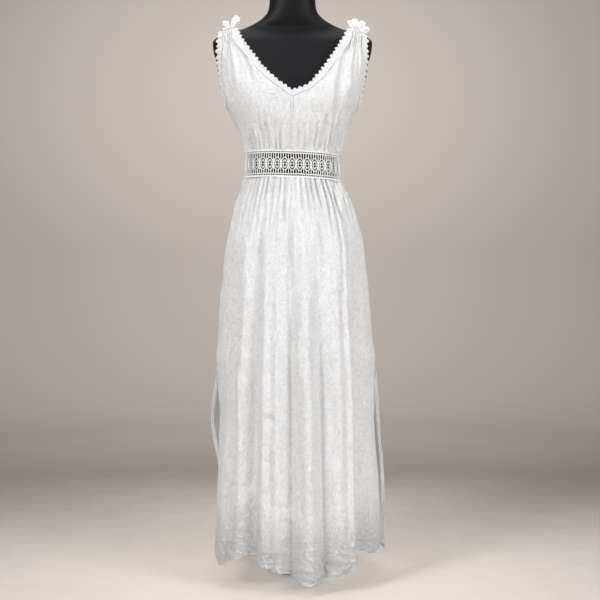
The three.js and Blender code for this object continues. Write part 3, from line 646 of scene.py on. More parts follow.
def bodiceRelief(points, u, height, seed, creases):
    # gathers that fan up from the band, pleats that run down from the tie, then single creases
    fit, x, z = bodiceFit, points[..., 0], points[..., 2]
    place = np.broadcast_to(u, x.shape) * fit["bandGathers"]
    ripple = pinch(place + 0.35 * waver(seed, place, height * 1.3, 1.3, 1))
    size = 1 + 0.6 * waverAlong(seed + 1, place, 1.0)
    length = fit["gatherLength"] * (1 + 0.5 * waverAlong(seed + 2, place, 1.0))
    above = z - waistTop
    band = (1 - ease(above / length)) * np.minimum(1, 0.45 + above / 12)
    turns = u * fit["shoulderPleats"] + 0.25 * waver(seed + 3, place, height * 2, 3, 1)
    pleatSize = ease((height - 1.5) / 1.3) * (1 + 0.4 * waver(seed + 4, place, height, 2.5, 1))
    puff = fit["puff"] * np.sin(np.clip(height / 1.3, 0, 1) * np.pi)
    soft = softRelief(seed + 5, fit["soft"], x, z)
    edge = np.sqrt(ease(u / 0.05) * ease((1 - u) / 0.05))
    top = 1 - ease((height - 2.85) / 0.15)
    gathers = fit["gatherRise"] * size * ripple * band
    pleats = fit["pleatRise"] * pleatSize * np.cos(2 * np.pi * turns)
    total = puff + edge * top * (gathers + pleats + soft + creaseRelief(creases, x, z))
    return np.where(total < 0, fit["deepest"] * np.tanh(total / fit["deepest"]), total)


def bodiceHalf(hand, face, rows, columns, seed, creases):
    heights = np.concatenate([
        np.linspace(0, 1, rows // 3, endpoint=False) ** 1.15, np.linspace(1, 3, rows - rows // 3)])
    inner, outer = bodiceOutline(hand, face, heights)
    u = rowOf(0, 1, columns)
    turn = blend(inner[0][:, None], outer[0][:, None], u)
    z = blend(inner[1][:, None], outer[1][:, None], u)
    base = bodicePoint(turn, z, hand, face)
    normal = gridNormals(base)
    normal[0, :, 2] = 0
    height = np.broadcast_to(heights[:, None], z.shape)
    points = base + unit(normal) * bodiceRelief(base, u, height, seed, creases)[..., None]
    points = points + np.array([hand * seamGap / 2 if face < 0 else 0, face * seamGap / 2, 0])
    return settle(points), stacked(u * 230, z), heights


def openNeckQuads(rows, wide, joined):
    # the two halves share their middle points in the joined rows and stand apart above them
    quads = gridQuads(rows, wide)
    quads = quads[quads[:, 0] % wide != wide // 2 - 1]
    shared = (quads // wide < joined) & (quads % wide == wide // 2)
    used, again = np.unique(np.where(shared, quads - 1, quads), return_inverse=True)
    return used, again.reshape(quads.shape)


hands = (-1, "left"), (1, "right")
halves = {}
for hand, side in hands:
    points, cloth, heights = bodiceHalf(hand, -1, 150, 84, 10 + hand, frontCreases)
    halves[side] = points, heights
    panel = clothSheet(f"{side}FrontBodice", points, cloth, gauzeWall, gauze)
    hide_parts(f"bodice_front_{side}")

leftBack, clothLeft, backHeights = bodiceHalf(-1, 1, 130, 70, 21, backCreases)
rightBack, clothRight, _ = bodiceHalf(1, 1, 130, 70, 23, backCreases)
halves["leftBack"], halves["rightBack"] = (leftBack, backHeights), (rightBack, backHeights)
backGrid = np.concatenate([leftBack[:, ::-1], rightBack], 1)
backCloth = np.concatenate([clothLeft[:, ::-1] * [-1, 1], clothRight], 1)
used, backQuads = openNeckQuads(*backGrid.shape[:2], (backHeights <= 1).sum())
backPanel = clothSheet("backBodice", backGrid.reshape(-1, 3)[used], backCloth.reshape(-1, 2)[used],
                       gauzeWall, gauze, backQuads)
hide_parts("bodice_back")
print("bodice made")


raisedSeam = {
    "rows": 60, "columns": 9, "halfWidth": 2.6, "standOff": 1.0, "height": 2.1,
    "wobble": 0.35, "wall": 0.8,
}


def frontSeam():
    # a narrow raised seam: a half-round ridge carried down the middle of the front
    form = raisedSeam
    points, heights = halves["right"]
    low = points[heights <= 1, 0]
    z = np.linspace(low[0, 2], low[-1, 2] - 1, form["rows"])[:, None]
    y = np.interp(z, low[:, 2], low[:, 1])
    across = rowOf(-1, 1, form["columns"])
    lift = form["standOff"] + form["height"] * np.sqrt(np.maximum(0, 1 - across ** 2))
    wobble = form["wobble"] * waverAlong(31, z, 9)
    grid = stacked(form["halfWidth"] * across + wobble, y - lift, z)
    seam = clothSheet("frontSeam", grid, stacked(across * 3, z), form["wall"], gauze)
    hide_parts("bodice_front_seam")


edgingStitch = {"ridges": 5, "ridgeRise": 0.9, "header": 1.7, "columns": 12, "perScallop": 15}


def edgingGrid(seam, rim, seed, flare):
    # a ribbon from the seam to a rim whose reach is the absolute sine of its length, so it swells
    # into scallops; shell stitches fan out inside each scallop
    length = runAlong(rim)
    count = int(length[-1] / scallopPitch * edgingStitch["perScallop"])
    even = np.linspace(0, length[-1], count)
    again = lambda path: np.stack([np.interp(even, length, path[:, k]) for k in range(3)], -1)
    seam, rim = again(seam), again(rim)
    outward = unit(rim - seam)
    phase = np.pi * even / scallopPitch + 0.5 * waverAlong(seed + 5, even, 17)
    hump = np.abs(np.sin(phase))
    wave = blend(hump, 1 - np.abs(np.cos(phase)), 0.3)  # slightly pointed humps, sharp notches
    wave = wave * (1 + 0.3 * waverAlong(seed + 3, even, 11))
    rim = rim + outward * (scallopDepth * (wave - 0.6))[:, None]
    seam = seam + outward * seamGap
    v = rowOf(0, 1, edgingStitch["columns"])
    points = blend(seam[:, None], rim[:, None], v[..., None])
    across = unit(np.cross(np.gradient(points, axis=0), outward[:, None]))
    across = turnedTo(across, points * [1, 1, 0])
    fan = np.abs(np.sin(edgingStitch["ridges"] * phase))[:, None] * ease(v * 1.6 - 0.5)
    header = np.exp(-(((v - 0.1) / 0.1) ** 2)) + 0.8 * np.exp(-(((v - 0.42) / 0.09) ** 2))
    lift = edgingStitch["header"] * header + edgingStitch["ridgeRise"] * fan * 2 - 0.8 * v
    lift = lift + 0.4 * waver(seed, even[:, None], v * 9, 2.6, 2) + flare * v * (0.4 + wave[:, None])
    cloth = stacked(even[:, None], v * 13)
    return points + across * lift[..., None], cloth


def joinPaths(first, second):
    # seam and rim of the first path turned round, then those of the second
    return (np.concatenate([a[::-1], b[1:]]) for a, b in zip(first, second))


def edgingPaths(side, column, edge, hand, face):
    points, heights = halves[side]
    upper = heights >= 1
    seam = points[upper, column]
    rim = edge((heights[upper] - 1) / 2, hand, face)
    apart = hand * seamGap / 2 if face < 0 and column == 0 else 0
    return seam, rim + np.array([apart, face * seamGap / 2, 0])


def addEdging(name, seam, rim, seed, node, flare=0.0):
    grid, cloth = edgingGrid(seam, rim, seed, flare)
    piece = clothSheet(name, grid, cloth, edgingWall, crochet)
    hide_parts(node)


for hand, side in hands:
    seam, rim = edgingPaths(side, 0, neckEdge, hand, -1)
    addEdging(f"{side}NeckEdging", seam, rim, 40 + hand, f"neck_edging_{side}")
    frontSide = edgingPaths(side, -1, armEdge, hand, -1)
    backSide = edgingPaths(side + "Back", -1, armEdge, hand, 1)
    seam, rim = joinPaths(frontSide, backSide)
    addEdging(f"{side}ArmholeEdging", seam, rim, 50 + hand, f"armhole_edging_{side}", 2.6)
paths = (edgingPaths(side + "Back", 0, neckEdge, hand, 1) for hand, side in hands)
seam, rim = joinPaths(*paths)
addEdging("backNeckEdging", seam, rim, 60, "neck_edging_back")
frontSeam()
print("edgings made")

edgeBars = 0.12, 0.37, 0.62, 0.87  # places of the short bars along both edges of the band
laceForm = {
    "pitch": 18, "repeats": 18, "ovalMiddle": 28.7,
    "rim": (7.9, 15.3, 1.15), "ring": (3.9, 9.2, 0.85),  # half-width, half-height, yarn radius
    "bands": table(
        "offset reach radius wave",
        (0, 7.2, 0.9, 0.4), (6.8, 3.3, 0.85, -0.5), (-6.8, 3.3, 0.85, 0.4)),
    "spokes": (28, 62, 118, 152, 208, 242, 298, 332), "spokeRadius": 0.42,
    "bars": table(  # place in the repeat, lower and upper end, yarn radius
        "offset low high radius",
        (0.17, 43, 55.2, 1.25), (0.5, 33, 55.2, 1.25), (0.83, 43, 55.2, 1.25), (0.17, 5, 15, 1.15),
        (0.5, 5, 24, 1.2), (0.83, 5, 15, 1.15), *((place, -2, 5, 0.85) for place in edgeBars),
        *((place, 55, 60, 0.9) for place in edgeBars)),
    "cords": table(  # height, yarn radius, how far it stands out
        "height radius lift", (-1.9, 2.2, 1.2), (5.2, 1.15, 0.3), (55.3, 1.2, 0.3), (60.4, 1.9, 0.9)),
}


def girthTurn(along):
    # turn of the waist section at a distance round it from the left side seam
    turns = np.linspace(-0.6 * np.pi, 0.6 * np.pi, 1201)
    ring = sectionPoint(bodiceRows, turns, np.full_like(turns, (waistTop + waistBottom) / 2))
    run = runAlong(ring)
    start, end = np.interp([-np.pi / 2, np.pi / 2], turns, run)
    whole = laceForm["pitch"] * laceForm["repeats"]
    return np.interp(start + along / whole * (end - start), run, turns)


def bandPoint(along, height, lift, face):
    # a place on the waist band: distance round it, height over its lower edge, distance outwards
    turn = girthTurn(along)
    z = waistBottom + height
    place = lambda t: sectionPoint(bodiceRows, t if face < 0 else np.pi - t, z)
    around = place(turn + 0.004) - place(turn - 0.004)
    here = place(turn)
    outward = turnedTo(unit(np.cross(around, [0, 0, 1])), here)
    here = here + outward * lift[..., None] + np.array([0, face * seamGap / 2, 0])
    return settle(here), outward


def bandYarn(face, along, height, lift, radius, sides=4, closed=False):
    along, height, lift = np.broadcast_arrays(along, height, lift)
    centre, outward = bandPoint(along.astype(float), height.astype(float), lift.astype(float), face)
    return tubes(centre, outward, radius, sides, closed)


def waistLace(face):
    form = laceForm
    pitch, middle, count = form["pitch"], form["ovalMiddle"], form["repeats"]
    whole = pitch * count
    centres = (np.arange(1, count) * pitch)[:, None].astype(float)
    parts = []
    add = lambda *yarn: parts.append(bandYarn(face, *yarn))
    for (wide, tall, radius), steps, lift in ((form["rim"], 28, 0.8), (form["ring"], 20, 0.4)):
        angle = fullTurn(steps)
        ring = centres + wide * np.sin(angle), middle + tall * np.cos(angle)
        add(*ring, lift, radius, 6, True)
        angle = rowOf(0, np.pi, steps // 2)
        for place, way in ((0.4, 1), (whole - 0.4, -1)):  # half an oval at each side seam
            half = place + way * wide * np.sin(angle), middle + tall * np.cos(angle)
            add(*half, lift, radius, 6)
    ovals = np.concatenate([centres, [[0.0]], [[whole]]])
    within = lambda places: np.clip(places, 0.4, whole - 0.4)
    sweep = rowOf(-1, 1, 7)
    for offset, reach, radius, wave in zip(*form["bands"].values()):
        height = middle + offset + wave * np.cos(sweep * np.pi)
        add(within(ovals + reach * sweep), height, 0.4, radius)
    share = rowOf(0, 1, 3)
    for spoke in np.radians(form["spokes"]):
        across, upright = (blend(form["ring"][k], form["rim"][k], share) for k in (0, 1))
        places = within(ovals + across * math.sin(spoke))
        add(places, middle + upright * math.cos(spoke), 0.2, form["spokeRadius"])
    share = rowOf(0, 1, 4)
    for offset, low, high, radius in zip(*form["bars"].values()):
        posts = np.clip((np.arange(count) + offset)[:, None] * pitch, 1, whole - 1)
        sway = 0.4 * np.sin(share * 3 + posts)
        add(posts + sway, blend(low, high, share), 0, radius)
    run = rowOf(0.2, whole - 0.2, 341)
    knot = 0.18 * np.sin(run * 2 * np.pi / 3.17)
    for height, radius, lift in zip(*form["cords"].values()):
        wander = 0.25 * waverAlong(71, run, 7)
        add(run, height + wander, lift, radius + knot, 6)
    for place in (0.9, whole - 0.9):
        add(np.full((1, 12), place), rowOf(-1, 60.5, 12), 0.1, 1.0)
    return parts


for face, side in ((-1, "front"), (1, "back")):
    lace = meshFrom(f"{side}WaistLace", waistLace(face), laceYarn)
    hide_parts(f"waist_lace_{side}")
print("waist lace made")

slitTop, slitDraw = 500, 15
ribbon = {"width": 11, "inset": 9, "reach": 70, "turnedOut": 8.5}
skirtHang = {
    "gatherRise": 5.7, "gatherLength": 215, "fineRise": 1.1, "fineLength": 90, "finePerGather": 2.37,
    "hemWaver": 2.4, "hemCreaseRise": 2.8, "hemCreaseReach": 55, "turnedRise": 2.2, "turnedHeight": 9,
    "soft": ((1.5, 24, 60), (0.8, 11, 21), (0.35, 5, 9)),
    "scattered": {
        "count": 70, "spanX": (-190, 190), "spanZ": (70, 800), "lengths": (18, 60),
        "slant": (-30, 40), "widths": (1.8, 3.4), "rises": (0.5, 1.3)},
}
reachColumns, foldColumns = "z left right depth", "hemX topX width rise top"
frontSkirt = {
    "face": -1, "gathers": 27, "seed": 80, "rows": 144, "columns": 330, "flat": (0.86, 0.97),
    "reach": table(
        reachColumns,
        (40, 193, 209, 176), (130, 189, 218, 176), (210, 186, 214, 174), (320, 182, 206, 170),
        (400, 179, 203, 167), (480, 187, 203, 162), (530, 188, 204, 159), (598, 184, 198, 154),
        (678, 180, 191, 148), (748, 172, 184, 141), (820, 163, 174, 131), (868, 151, 161, 121),
        (913, 139, 147, 108), (961, 121, 124, 90), (980, 117.5, 117.5, 84)),
    "folds": table(
        foldColumns,
        (-158, -140, 17, 12, 700), (-122, -110, 17, 13, 950), (-93, -86, 18, -14, 970),
        (-66, -60, 14, 17, 920), (-34, -36, 19, 16, 930), (1, -6, 10, -13, 960),
        (40, 28, 26, 27, 940), (72, 60, 14, -14, 970), (108, 98, 22, 24, 950),
        (137, 124, 12, 20, 900), (170, 152, 20, -24, 920)),
    "hem": table(
        "x z",
        (-196, 84), (-184, 58), (-168, 50), (-152, 56), (-140, 69), (-110, 80), (-84, 86), (-72, 66),
        (-56, 58), (-30, 53), (0, 41), (36, 25), (56, 24), (82, 38), (110, 47), (148, 54), (153, 84),
        (176, 80), (196, 68), (204, 76), (212, 96)),
    "creases": table(
        creaseColumns,
        (-76, 890, -80, 700, 2, 6, -2.6), (-2, 880, -4, 690, 2, 6, -2),
        (72, 880, 80, 690, -3, 8, -2.8), (3, 720, 6, 520, 2, 6, -2), (138, 720, 147, 540, 3, 6, -2.4),
        (-112, 760, -118, 560, 3, 8, -2.2), (-19, 925, -20, 860, 0, 2.6, -3.6),
        (-1, 930, -2, 725, 2, 3.4, -2.6), (64, 890, 79, 780, 2, 3.4, -4.6),
        (-106, 866, -106, 830, 0, 3, -2.8), (-82, 822, -75, 738, 1, 3, -3.4),
        (-6, 842, -7, 742, 0, 3, -1.4), (96, 972, 115, 886, 2, 3.4, -6.5),
        (112, 895, 136, 862, 2, 3.4, -6), (134, 868, 140, 690, 3, 3.6, -5.5),
        (104, 968, 124, 884, 2, 5, 3), (92, 737, 134, 733, 2, 2.6, -2),
        (90, 694, 136, 690, -2, 2.6, -2.2), (96, 596, 138, 590, 2, 2.4, -2),
        (-55, 663, -16, 678, 2, 2.6, -2.2), (-60, 616, -32, 614, 1, 2.4, -1.8),
        (118, 610, 141, 627, 1, 2.4, -1.8), (-66, 408, -29, 393, -2, 2.6, -2.4),
        (-57, 213, 0, 197, 2, 2.6, -2.4), (-28, 171, 6, 155, -2, 2.4, -2.2),
        (-148, 238, -107, 250, 2, 3, -2.6), (-109, 227, -96, 279, 2, 4, -3),
        (-40, 905, -44, 790, -2, 3.4, -2.6), (34, 905, 40, 770, 2, 4, -2.8),
        (-62, 930, -70, 850, 0, 3, -2.8), (52, 700, 50, 560, 2, 5, -2.6),
        (14, 640, 20, 470, 3, 6, 2.6), (-24, 560, -18, 400, 3, 5, -2),
        (-140, 640, -148, 480, 3, 6, -2.6), (-126, 520, -118, 380, -3, 5, 2.2),
        (86, 480, 92, 300, -3, 6, -2.6), (62, 360, 66, 200, 3, 5, 2.4),
        (-50, 330, -46, 170, 2, 5, -2.2), (20, 300, 26, 150, 3, 5, -2.4)),
}
backSkirt = {
    "face": 1, "gathers": 21, "seed": 90, "rows": 116, "columns": 258, "flat": (0.92, 0.97),
    "reach": table(
        reachColumns,
        (40, 186, 233, 192), (130, 183, 231, 190), (210, 183, 231, 187), (270, 187, 228, 184),
        (330, 199, 222, 181), (380, 205, 219, 178), (480, 194, 212, 172), (530, 188, 204, 168),
        (598, 184, 198, 163), (678, 180, 191, 157), (748, 172, 184, 149), (820, 163, 174, 138),
        (868, 151, 161, 127), (913, 139, 147, 111), (961, 121, 124, 91), (980, 117.5, 117.5, 84)),
    "folds": table(
        foldColumns,
        (-165, -148, 16, 13, 720), (-136, -120, 15, -20, 760), (-98, -88, 22, 23, 930),
        (-58, -50, 15, -16, 820), (-16, -18, 24, 21, 940), (26, 20, 13, -18, 900),
        (68, 58, 22, 24, 930), (112, 98, 17, -22, 820), (150, 132, 19, 19, 780)),
    "hem": table("x z", (-186, 60), (-100, 44), (-20, 38), (70, 42), (150, 52), (233, 56)),
    "creases": table(
        creaseColumns,
        (-70, 930, -84, 780, 2, 3.4, -4.4), (20, 925, 22, 790, 2, 3.2, -3.8),
        (84, 940, 108, 800, 3, 4, -5), (-22, 900, -26, 720, -2, 4, -3),
        (-110, 880, -124, 740, 2, 4, -3.4), (50, 880, 56, 700, 2, 4, -3),
        (-60, 660, -20, 672, 2, 2.6, -2.2), (70, 610, 112, 600, 2, 2.6, -2.2),
        (-128, 560, -90, 575, 2, 2.6, -2), (6, 470, 44, 455, -2, 2.8, -2.2),
        (-90, 340, -50, 326, 2, 2.8, -2.2), (90, 260, 134, 275, 2, 2.8, -2.4),
        (-30, 220, 8, 236, 2, 2.6, -2.2), (-14, 600, -10, 430, 3, 6, 2.6),
        (44, 520, 48, 360, -3, 6, -2.6), (-110, 470, -116, 300, 3, 6, -2.6),
        (130, 560, 138, 380, 3, 6, -2.8), (-60, 250, -64, 110, 2, 5, -2.4)),
}


def foldRelief(folds, x, z):
    # each large fold is a bell across the skirt that widens and deepens downwards
    total = np.zeros(x.shape)
    for hemX, topX, width, rise, top in zip(*folds.values()):
        down = np.clip((top - z) / (top - 40), 0, 1)
        off = (x - blend(topX, hemX, down)) / (width * blend(0.55, 1.05, down))
        total += rise * ease(down * 1.6) * np.exp(-(off ** 2))
    return total


def skirtGrid(panel):
    # half a superelliptic cone from side seam to side seam, hung from the waist seam to the hem
    face, rows, seed, hang = panel["face"], panel["reach"], panel["seed"], skirtHang
    down = np.linspace(0, 1, panel["rows"])
    level = blend(down, ease(down), 0.5)[:, None]  # rows stand closer at the waist and the hem
    share = rowOf(0, 1, panel["columns"])
    turn = np.pi * (share - 0.5)
    across = np.sin(turn)
    sideShare = signedPower(across, 2 / skirtSquareness)
    reach = lambda z: np.where(across < 0, readAt(rows, "left", z), readAt(rows, "right", z))
    top = waistBottom - seamGap
    hemZ = readAt(panel["hem"], "z", sideShare * reach(np.full(share.shape, 50.0)))
    fromSide = np.minimum(share, 1 - share)
    hemZ = hemZ + hang["hemWaver"] * waverAlong(seed, share * 640, 9) * ease(fromSide * 20)
    z = blend(top, hemZ, level)
    depth = readAt(rows, "depth", z) * np.maximum(0, np.cos(turn)) ** (2 / skirtSquareness)
    draw = seamGap / 2 + slitDraw * ease((slitTop - z) / slitTop)
    if face > 0:  # the border of the back panel turns out at the slits and shows as a ribbon
        opened = ease((slitTop + 30 - z) / 60)
        within = np.clip(depth / ribbon["width"], 0, 1)
        fade = np.exp(-np.maximum(0, depth - ribbon["width"]) / ribbon["reach"])
        sideways = sideShare * reach(z) - np.sign(across) * ribbon["inset"] * opened * within * fade
        draw = draw + opened * ribbon["turnedOut"] * (1 - within)
    else:
        sideways = sideShare * reach(z)
    base = np.stack([sideways, face * (depth + draw), z], -1)
    normal = gridNormals(base)
    normal[0, :, 2] = 0
    steady = share * panel["gathers"]
    place = steady + 0.3 * waver(seed + 1, steady, level * 4, 1.4, 1)
    below = top - z
    length = hang["gatherLength"] * (1 + 0.55 * waverAlong(seed + 2, steady, 1.0))
    size = hang["gatherRise"] * (1 + 0.5 * waverAlong(seed + 3, steady, 1.0))
    fine = np.cos(2 * np.pi * place * hang["finePerGather"] + 1)
    fine = hang["fineRise"] * fine * (1 - ease(below / hang["fineLength"]))
    gathers = size * pinch(place) * (1 - ease(below / length)) * np.minimum(1, 0.35 + below / 25)
    sideFade = ease(fromSide * panel["gathers"] * 2 / 5)
    edgeFade = ease(fromSide * 90)
    x = base[..., 0]
    soft = softRelief(seed + 4, hang["soft"], x, z)
    hemBand = np.exp(-(((z - hemZ) / hang["hemCreaseReach"]) ** 2))
    hemCrease = np.minimum(np.abs(waver(seed + 7, x + 0.6 * z, z + 0.22 * x, 21, 6.4)), 0.4)
    soft += hang["hemCreaseRise"] * hemBand * (1 - 4 * hemCrease)  # creases across, near the hem
    scattered = scatterCreases(seed + 8, **hang["scattered"])
    single = creaseRelief(panel["creases"], x, z) + creaseRelief(scattered, x, z)
    fadeIn = ease(below / 40)
    turned = hang["turnedRise"] * (1 - ease((z - hemZ) / hang["turnedHeight"]))
    folds = sideFade * foldRelief(panel["folds"], x, z)
    relief = edgeFade * (gathers + fine) + folds
    relief = relief + edgeFade * fadeIn * (soft + single) + turned
    points = base + unit(normal) * relief[..., None]
    wide, long = (size / mm for size in panel["flat"])
    return settle(points), stacked(share * wide, (1 - level) * long)


for panel, side in ((frontSkirt, "front"), (backSkirt, "back")):
    points, cloth = skirtGrid(panel)
    skirt = clothSheet(f"{side}Skirt", points, cloth, gauzeWall, gauze)
    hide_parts(f"skirt_{side}")
print("skirt made")

loopColumns = "along lean length breadth open"
tieLoops = {
    "left": table(loopColumns, (-156, -34, 27, 15, 6), (-151, 24, 38, 18, 7), (-160, -70, 14, 8, 3)),
    "right": table(
        loopColumns, (154, -34, 27, 14, 6), (157, -4, 29, 19, 8), (163, 30, 29, 18, 7),
        (168, 74, 25, 18, 7), (172, 112, 16, 11, 4)),
}
tieKnots = {
    "left": {"along": -157, "halfLength": 18, "halfDepth": 10.4, "halfHeight": 7},
    "right": {"along": 162, "halfLength": 20, "halfDepth": 10.4, "halfHeight": 8},
}
knotSink, knotSetBack = 5.2, 0.5
petal = {
    "steps": 44, "columns": 23, "widestAt": 0.6, "halfSpan": 0.62, "frill": 0.3,
    "flutes": 6.5, "fluteRise": 1.1, "rumple": 1.6, "foldIn": 0.2,
}


def ridgeHeight(x):
    return blend(1356, 1346, (abs(x) - 139) / (176 - 139))


def leaned(x, z, lean):
    # turned in the plane of the picture, its top towards +X
    return x * math.cos(lean) + z * math.sin(lean), z * math.cos(lean) - x * math.sin(lean)


def tieLoop(loop, seed):
    # a petal of ribbon: it rises from the knot, folds over at its rounded tip and comes back behind
    # itself; its width follows an ellipse, its face is puffed out and rippled lengthwise
    along, lean, length, breadth, openness = loop
    swing = np.linspace(-1, 1, petal["steps"])[:, None]
    share = rowOf(-1, 1, petal["columns"])
    up = 1 - np.abs(swing) ** 1.7
    wide = breadth / 2 * np.sqrt(1 - ((up - petal["widestAt"]) / petal["halfSpan"]) ** 2)
    frill = petal["frill"] * waver(seed + 4, up * 8 + swing, share, 1.2, 9) * share ** 2
    bulge = 0.25 + np.sin(np.pi * np.clip(up, 0, 0.93)) ** 0.5 * (1 - share ** 2) ** 0.6
    ripple = petal["fluteRise"] * np.cos(share * petal["flutes"] + seed) * (0.35 + 0.65 * up)
    ripple = ripple + petal["rumple"] * waver(seed, share * 10, up * length, 3.4, 5)
    y = np.sin(np.pi / 2 * swing) * (openness * bulge + ripple)
    x = wide * share * (1 + frill) + 0.9 * waverAlong(seed + 1, up * length, 7)
    height = length * up - petal["foldIn"] * breadth * up ** 3 * share ** 2
    height = height + 2 * waverAlong(seed + 2, share * 10, 4) * up
    x, height = leaned(x, height, math.radians(lean))
    points = stacked(x + along, y + knotSetBack, height + ridgeHeight(along) + 3)
    cloth = stacked(share * breadth, 200 + swing * length)
    return points, gridQuads(*points.shape[:2]), cloth


def tieKnot(knot, seed):
    # an ellipsoid with wraps: ridges that wind round it and pinch in at the middle
    rings, columns = 40, 48
    around = fullTurn(columns)
    polar = np.linspace(0.02, np.pi - 0.02, rings)[:, None]
    wrap = 0.05 * np.cos(polar * 9 + around) + 0.05 * waver(seed, polar * 12, around * 3, 1.5, 2.4)
    size = 1 + wrap * np.sin(polar)
    x = -np.cos(polar) * knot["halfLength"] * size
    y = np.sin(polar) * np.cos(around) * knot["halfDepth"] * size
    z = np.sin(polar) * np.sin(around) * knot["halfHeight"] * size
    x, z = leaned(x, z, math.atan2(10, 37) * np.sign(knot["along"]))
    base = ridgeHeight(knot["along"]) + knot["halfHeight"] - knotSink
    points = stacked(x + knot["along"], y + knotSetBack, z + base)
    return points, gridQuads(rings, columns, closed=True), stacked(polar * 14, around * 6)


for side in ("left", "right"):
    loops = zip(*tieLoops[side].values())
    parts = [tieLoop(loop, 100 + 7 * k + len(side)) for k, loop in enumerate(loops)]
    tie = meshFrom(f"{side}TieLoops", parts, tieGauze)
    giveThickness(tie, gauzeWall)
    knot = meshFrom(f"{side}TieKnot", [tieKnot(tieKnots[side], 120 + len(side))], tieGauze)
    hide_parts(f"shoulder_tie_{side}")
    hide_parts(f"shoulder_tie_{side}")
print("ties made")


def turnedPiece(name, profile, columns, material, node, depthShare=1.0):
    # a profile of radius and height carried round the upright axis
    radius, z = np.array(profile, float).T[:, :, None]
    angle = fullTurn(columns)
    points = stacked(radius * np.cos(angle), radius * np.sin(angle) * depthShare, z)
    quads = gridQuads(len(profile), columns, closed=True)
    piece = meshFrom(name, [(points, quads, stacked(angle * 50, z))], material)
    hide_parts(node)


def roundedStep(radius, low, high, corner, steps=5):
    # a disc's profile whose two corners are quarter circles
    quarter = np.linspace(0, np.pi / 2, steps)
    inner = radius - corner
    lower = [(inner + corner * math.sin(a), low + corner - corner * math.cos(a)) for a in quarter]
    upper = [(inner + corner * math.cos(a), high - corner + corner * math.sin(a)) for a in quarter]
    return [(0.01, low), (radius * 0.6, low), *lower, *upper, (radius * 0.6, high), (0.01, high)]


turnedPiece("glassBase", roundedStep(150, 0, 10, 1.6), 160, glass, "stand_base")
flange = (0.01, 10.3), (42, 10.3), (42, 12), (41, 12.8), (26, 15.5), (22, 18), (0.01, 18)
turnedPiece("steelFlange", flange, 96, steel, "stand_flange")
pole = (0.01, 18.3), (12, 18.3), (12.5, 18.8), (12.5, 300), (12.5, 723), (12, 723.7), (0.01, 723.7)
turnedPiece("steelPole", pole, 64, steel, "stand_pole")
cap = roundedStep(53.5, 1452.3, 1459.3, 2.4)
turnedPiece("neckCap", cap, 96, formSkin, "form_neck_cap", 1.01)


def torsoGrid():
    # superelliptic rings up the form, closed in towards the axis at both ends
    rows, columns = 150, 112
    z = np.linspace(724, 1452, rows)
    z = np.concatenate([[724, 724], z, [1452, 1452]])[:, None]
    turn = fullTurn(columns)
    points = sectionPoint(formRows, turn, z + 0 * turn)
    shrink = np.ones(rows + 4)
    shrink[[0, 1, -2, -1]] = 0.001, 0.9, 0.96, 0.001
    points[..., :2] *= shrink[:, None, None]
    quads = gridQuads(rows + 4, columns, closed=True)
    return points, quads, stacked(turn * 100, z)


torso = meshFrom("formTorso", [torsoGrid()], formSkin)
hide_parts("form_torso")
print("form and stand made")

studio = {
    "floor": (0.655, 0.607, 0.568, 1), "paintedShadeFar": (0.287, 0.262, 0.244, 1),
    "fadeFrom": 0.0, "fadeTo": 1.9, "radius": 4.0, "cove": 1.0, "wall": 5.0,
    "around": (0.95, 0.97, 1.0, 1), "aroundStrength": 0.5,
    "lights": table(
        "x y z aimX aimY aimZ size watts",
        (-2.1, -2.3, 2.4, 0, 0, 0.6, 1.1, 112), (2.3, -2.0, 1.6, 0, 0, 0.45, 1.6, 88),
        (0.0, 0.2, 3.4, 0, 0.1, 0.0, 2.2, 34), (-0.05, 1.9, 2.2, -0.1, 4.0, 1.75, 0.9, 66)),
}


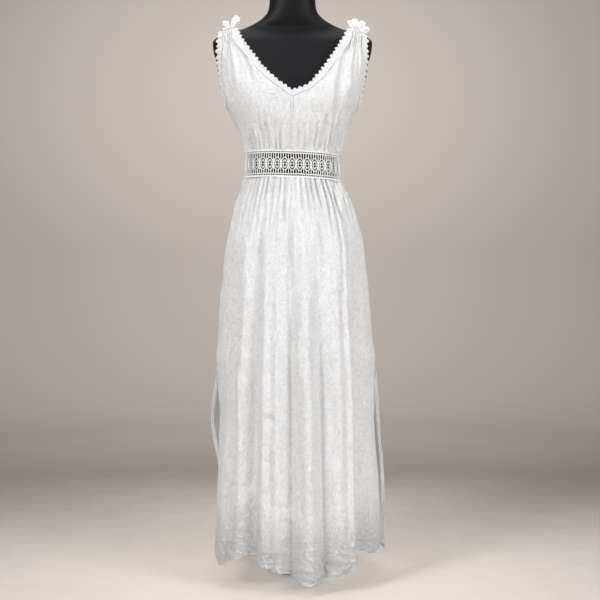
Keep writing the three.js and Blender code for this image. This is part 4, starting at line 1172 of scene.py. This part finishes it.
def makeBackdrop():
    # a round seamless backdrop: level floor, quarter-circle cove, upright wall
    cove, radius = studio["cove"], studio["radius"]
    bend = np.linspace(0, np.pi / 2, 20)
    r = np.concatenate([[0.01, 0.6, 1.4, 2.2], radius - cove + cove * np.sin(bend), [radius]])
    z = np.concatenate([[0, 0, 0, 0], cove - cove * np.cos(bend), [studio["wall"]]]) - 0.0006
    angle = fullTurn(128)
    r, z = r[:, None], z[:, None]
    points = stacked(r * np.cos(angle), r * np.sin(angle), z).reshape(-1, 3)
    quads = gridQuads(len(r), 128, closed=True)[:, ::-1]  # seen from inside
    mesh = bpy.data.meshes.new("backdrop")
    mesh.from_pydata(points.tolist(), [], quads.tolist())
    mesh.polygons.foreach_set("use_smooth", np.full(len(mesh.polygons), True))
    material, tree, sockets, where = startMaterial(
        "paper", {"Roughness": 0.95, "Specular IOR Level": 0.1})
    # the paper's colour goes from the floor's tone to a far darker one with distance from the middle:
    # painted shade for the light falling off towards the wall
    level = stretched(tree, where, (1, 1, 0))
    out = addNode(tree, "VectorMath", {0: level}, operation="LENGTH").outputs["Value"]
    grain = useGroup(tree, grainGroup, {"Place": where, "Scale": 300.0})
    uneven = math2(tree, "ADD", out, times(tree, grain["Smudge"], 0.3))
    fade = studio["fadeFrom"], studio["fadeTo"]
    far = remapped(tree, uneven, *fade, interpolation_type="SMOOTHSTEP")
    feed(tree, sockets, {"Base Color": mixColours(tree, far, studio["floor"], studio["paintedShadeFar"])})
    mesh.materials.append(material)
    backdrop = bpy.data.objects.new("backdrop", mesh)
    scene.collection.objects.link(backdrop)
    backdrop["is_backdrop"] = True


def placeLights():
    for k, row in enumerate(zip(*studio["lights"].values())):
        place, aim, (size, watts) = np.array(row[:3]), np.array(row[3:6]), row[6:]
        data = bpy.data.lights.new(f"softbox{k}", "AREA")
        data.shape, data.size, data.energy = "DISK", size, watts
        lamp = bpy.data.objects.new(f"softbox{k}", data)
        towards = unit(aim - place)
        lamp.location = place
        lamp.rotation_euler = (math.acos(-towards[2]), 0, math.atan2(-towards[0], towards[1]))
        lamp.visible_camera = False
        scene.collection.objects.link(lamp)


makeBackdrop()
placeLights()
world = bpy.data.worlds.new("studio")
world.use_nodes = True
background = world.node_tree.nodes["Background"].inputs
feed(world.node_tree, background, {0: studio["around"], 1: studio["aroundStrength"]})
scene.world = world
scene.view_settings.view_transform = "Standard"
print("studio lit")

{"cad": cadBox, "visual": [list(corner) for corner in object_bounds()]}
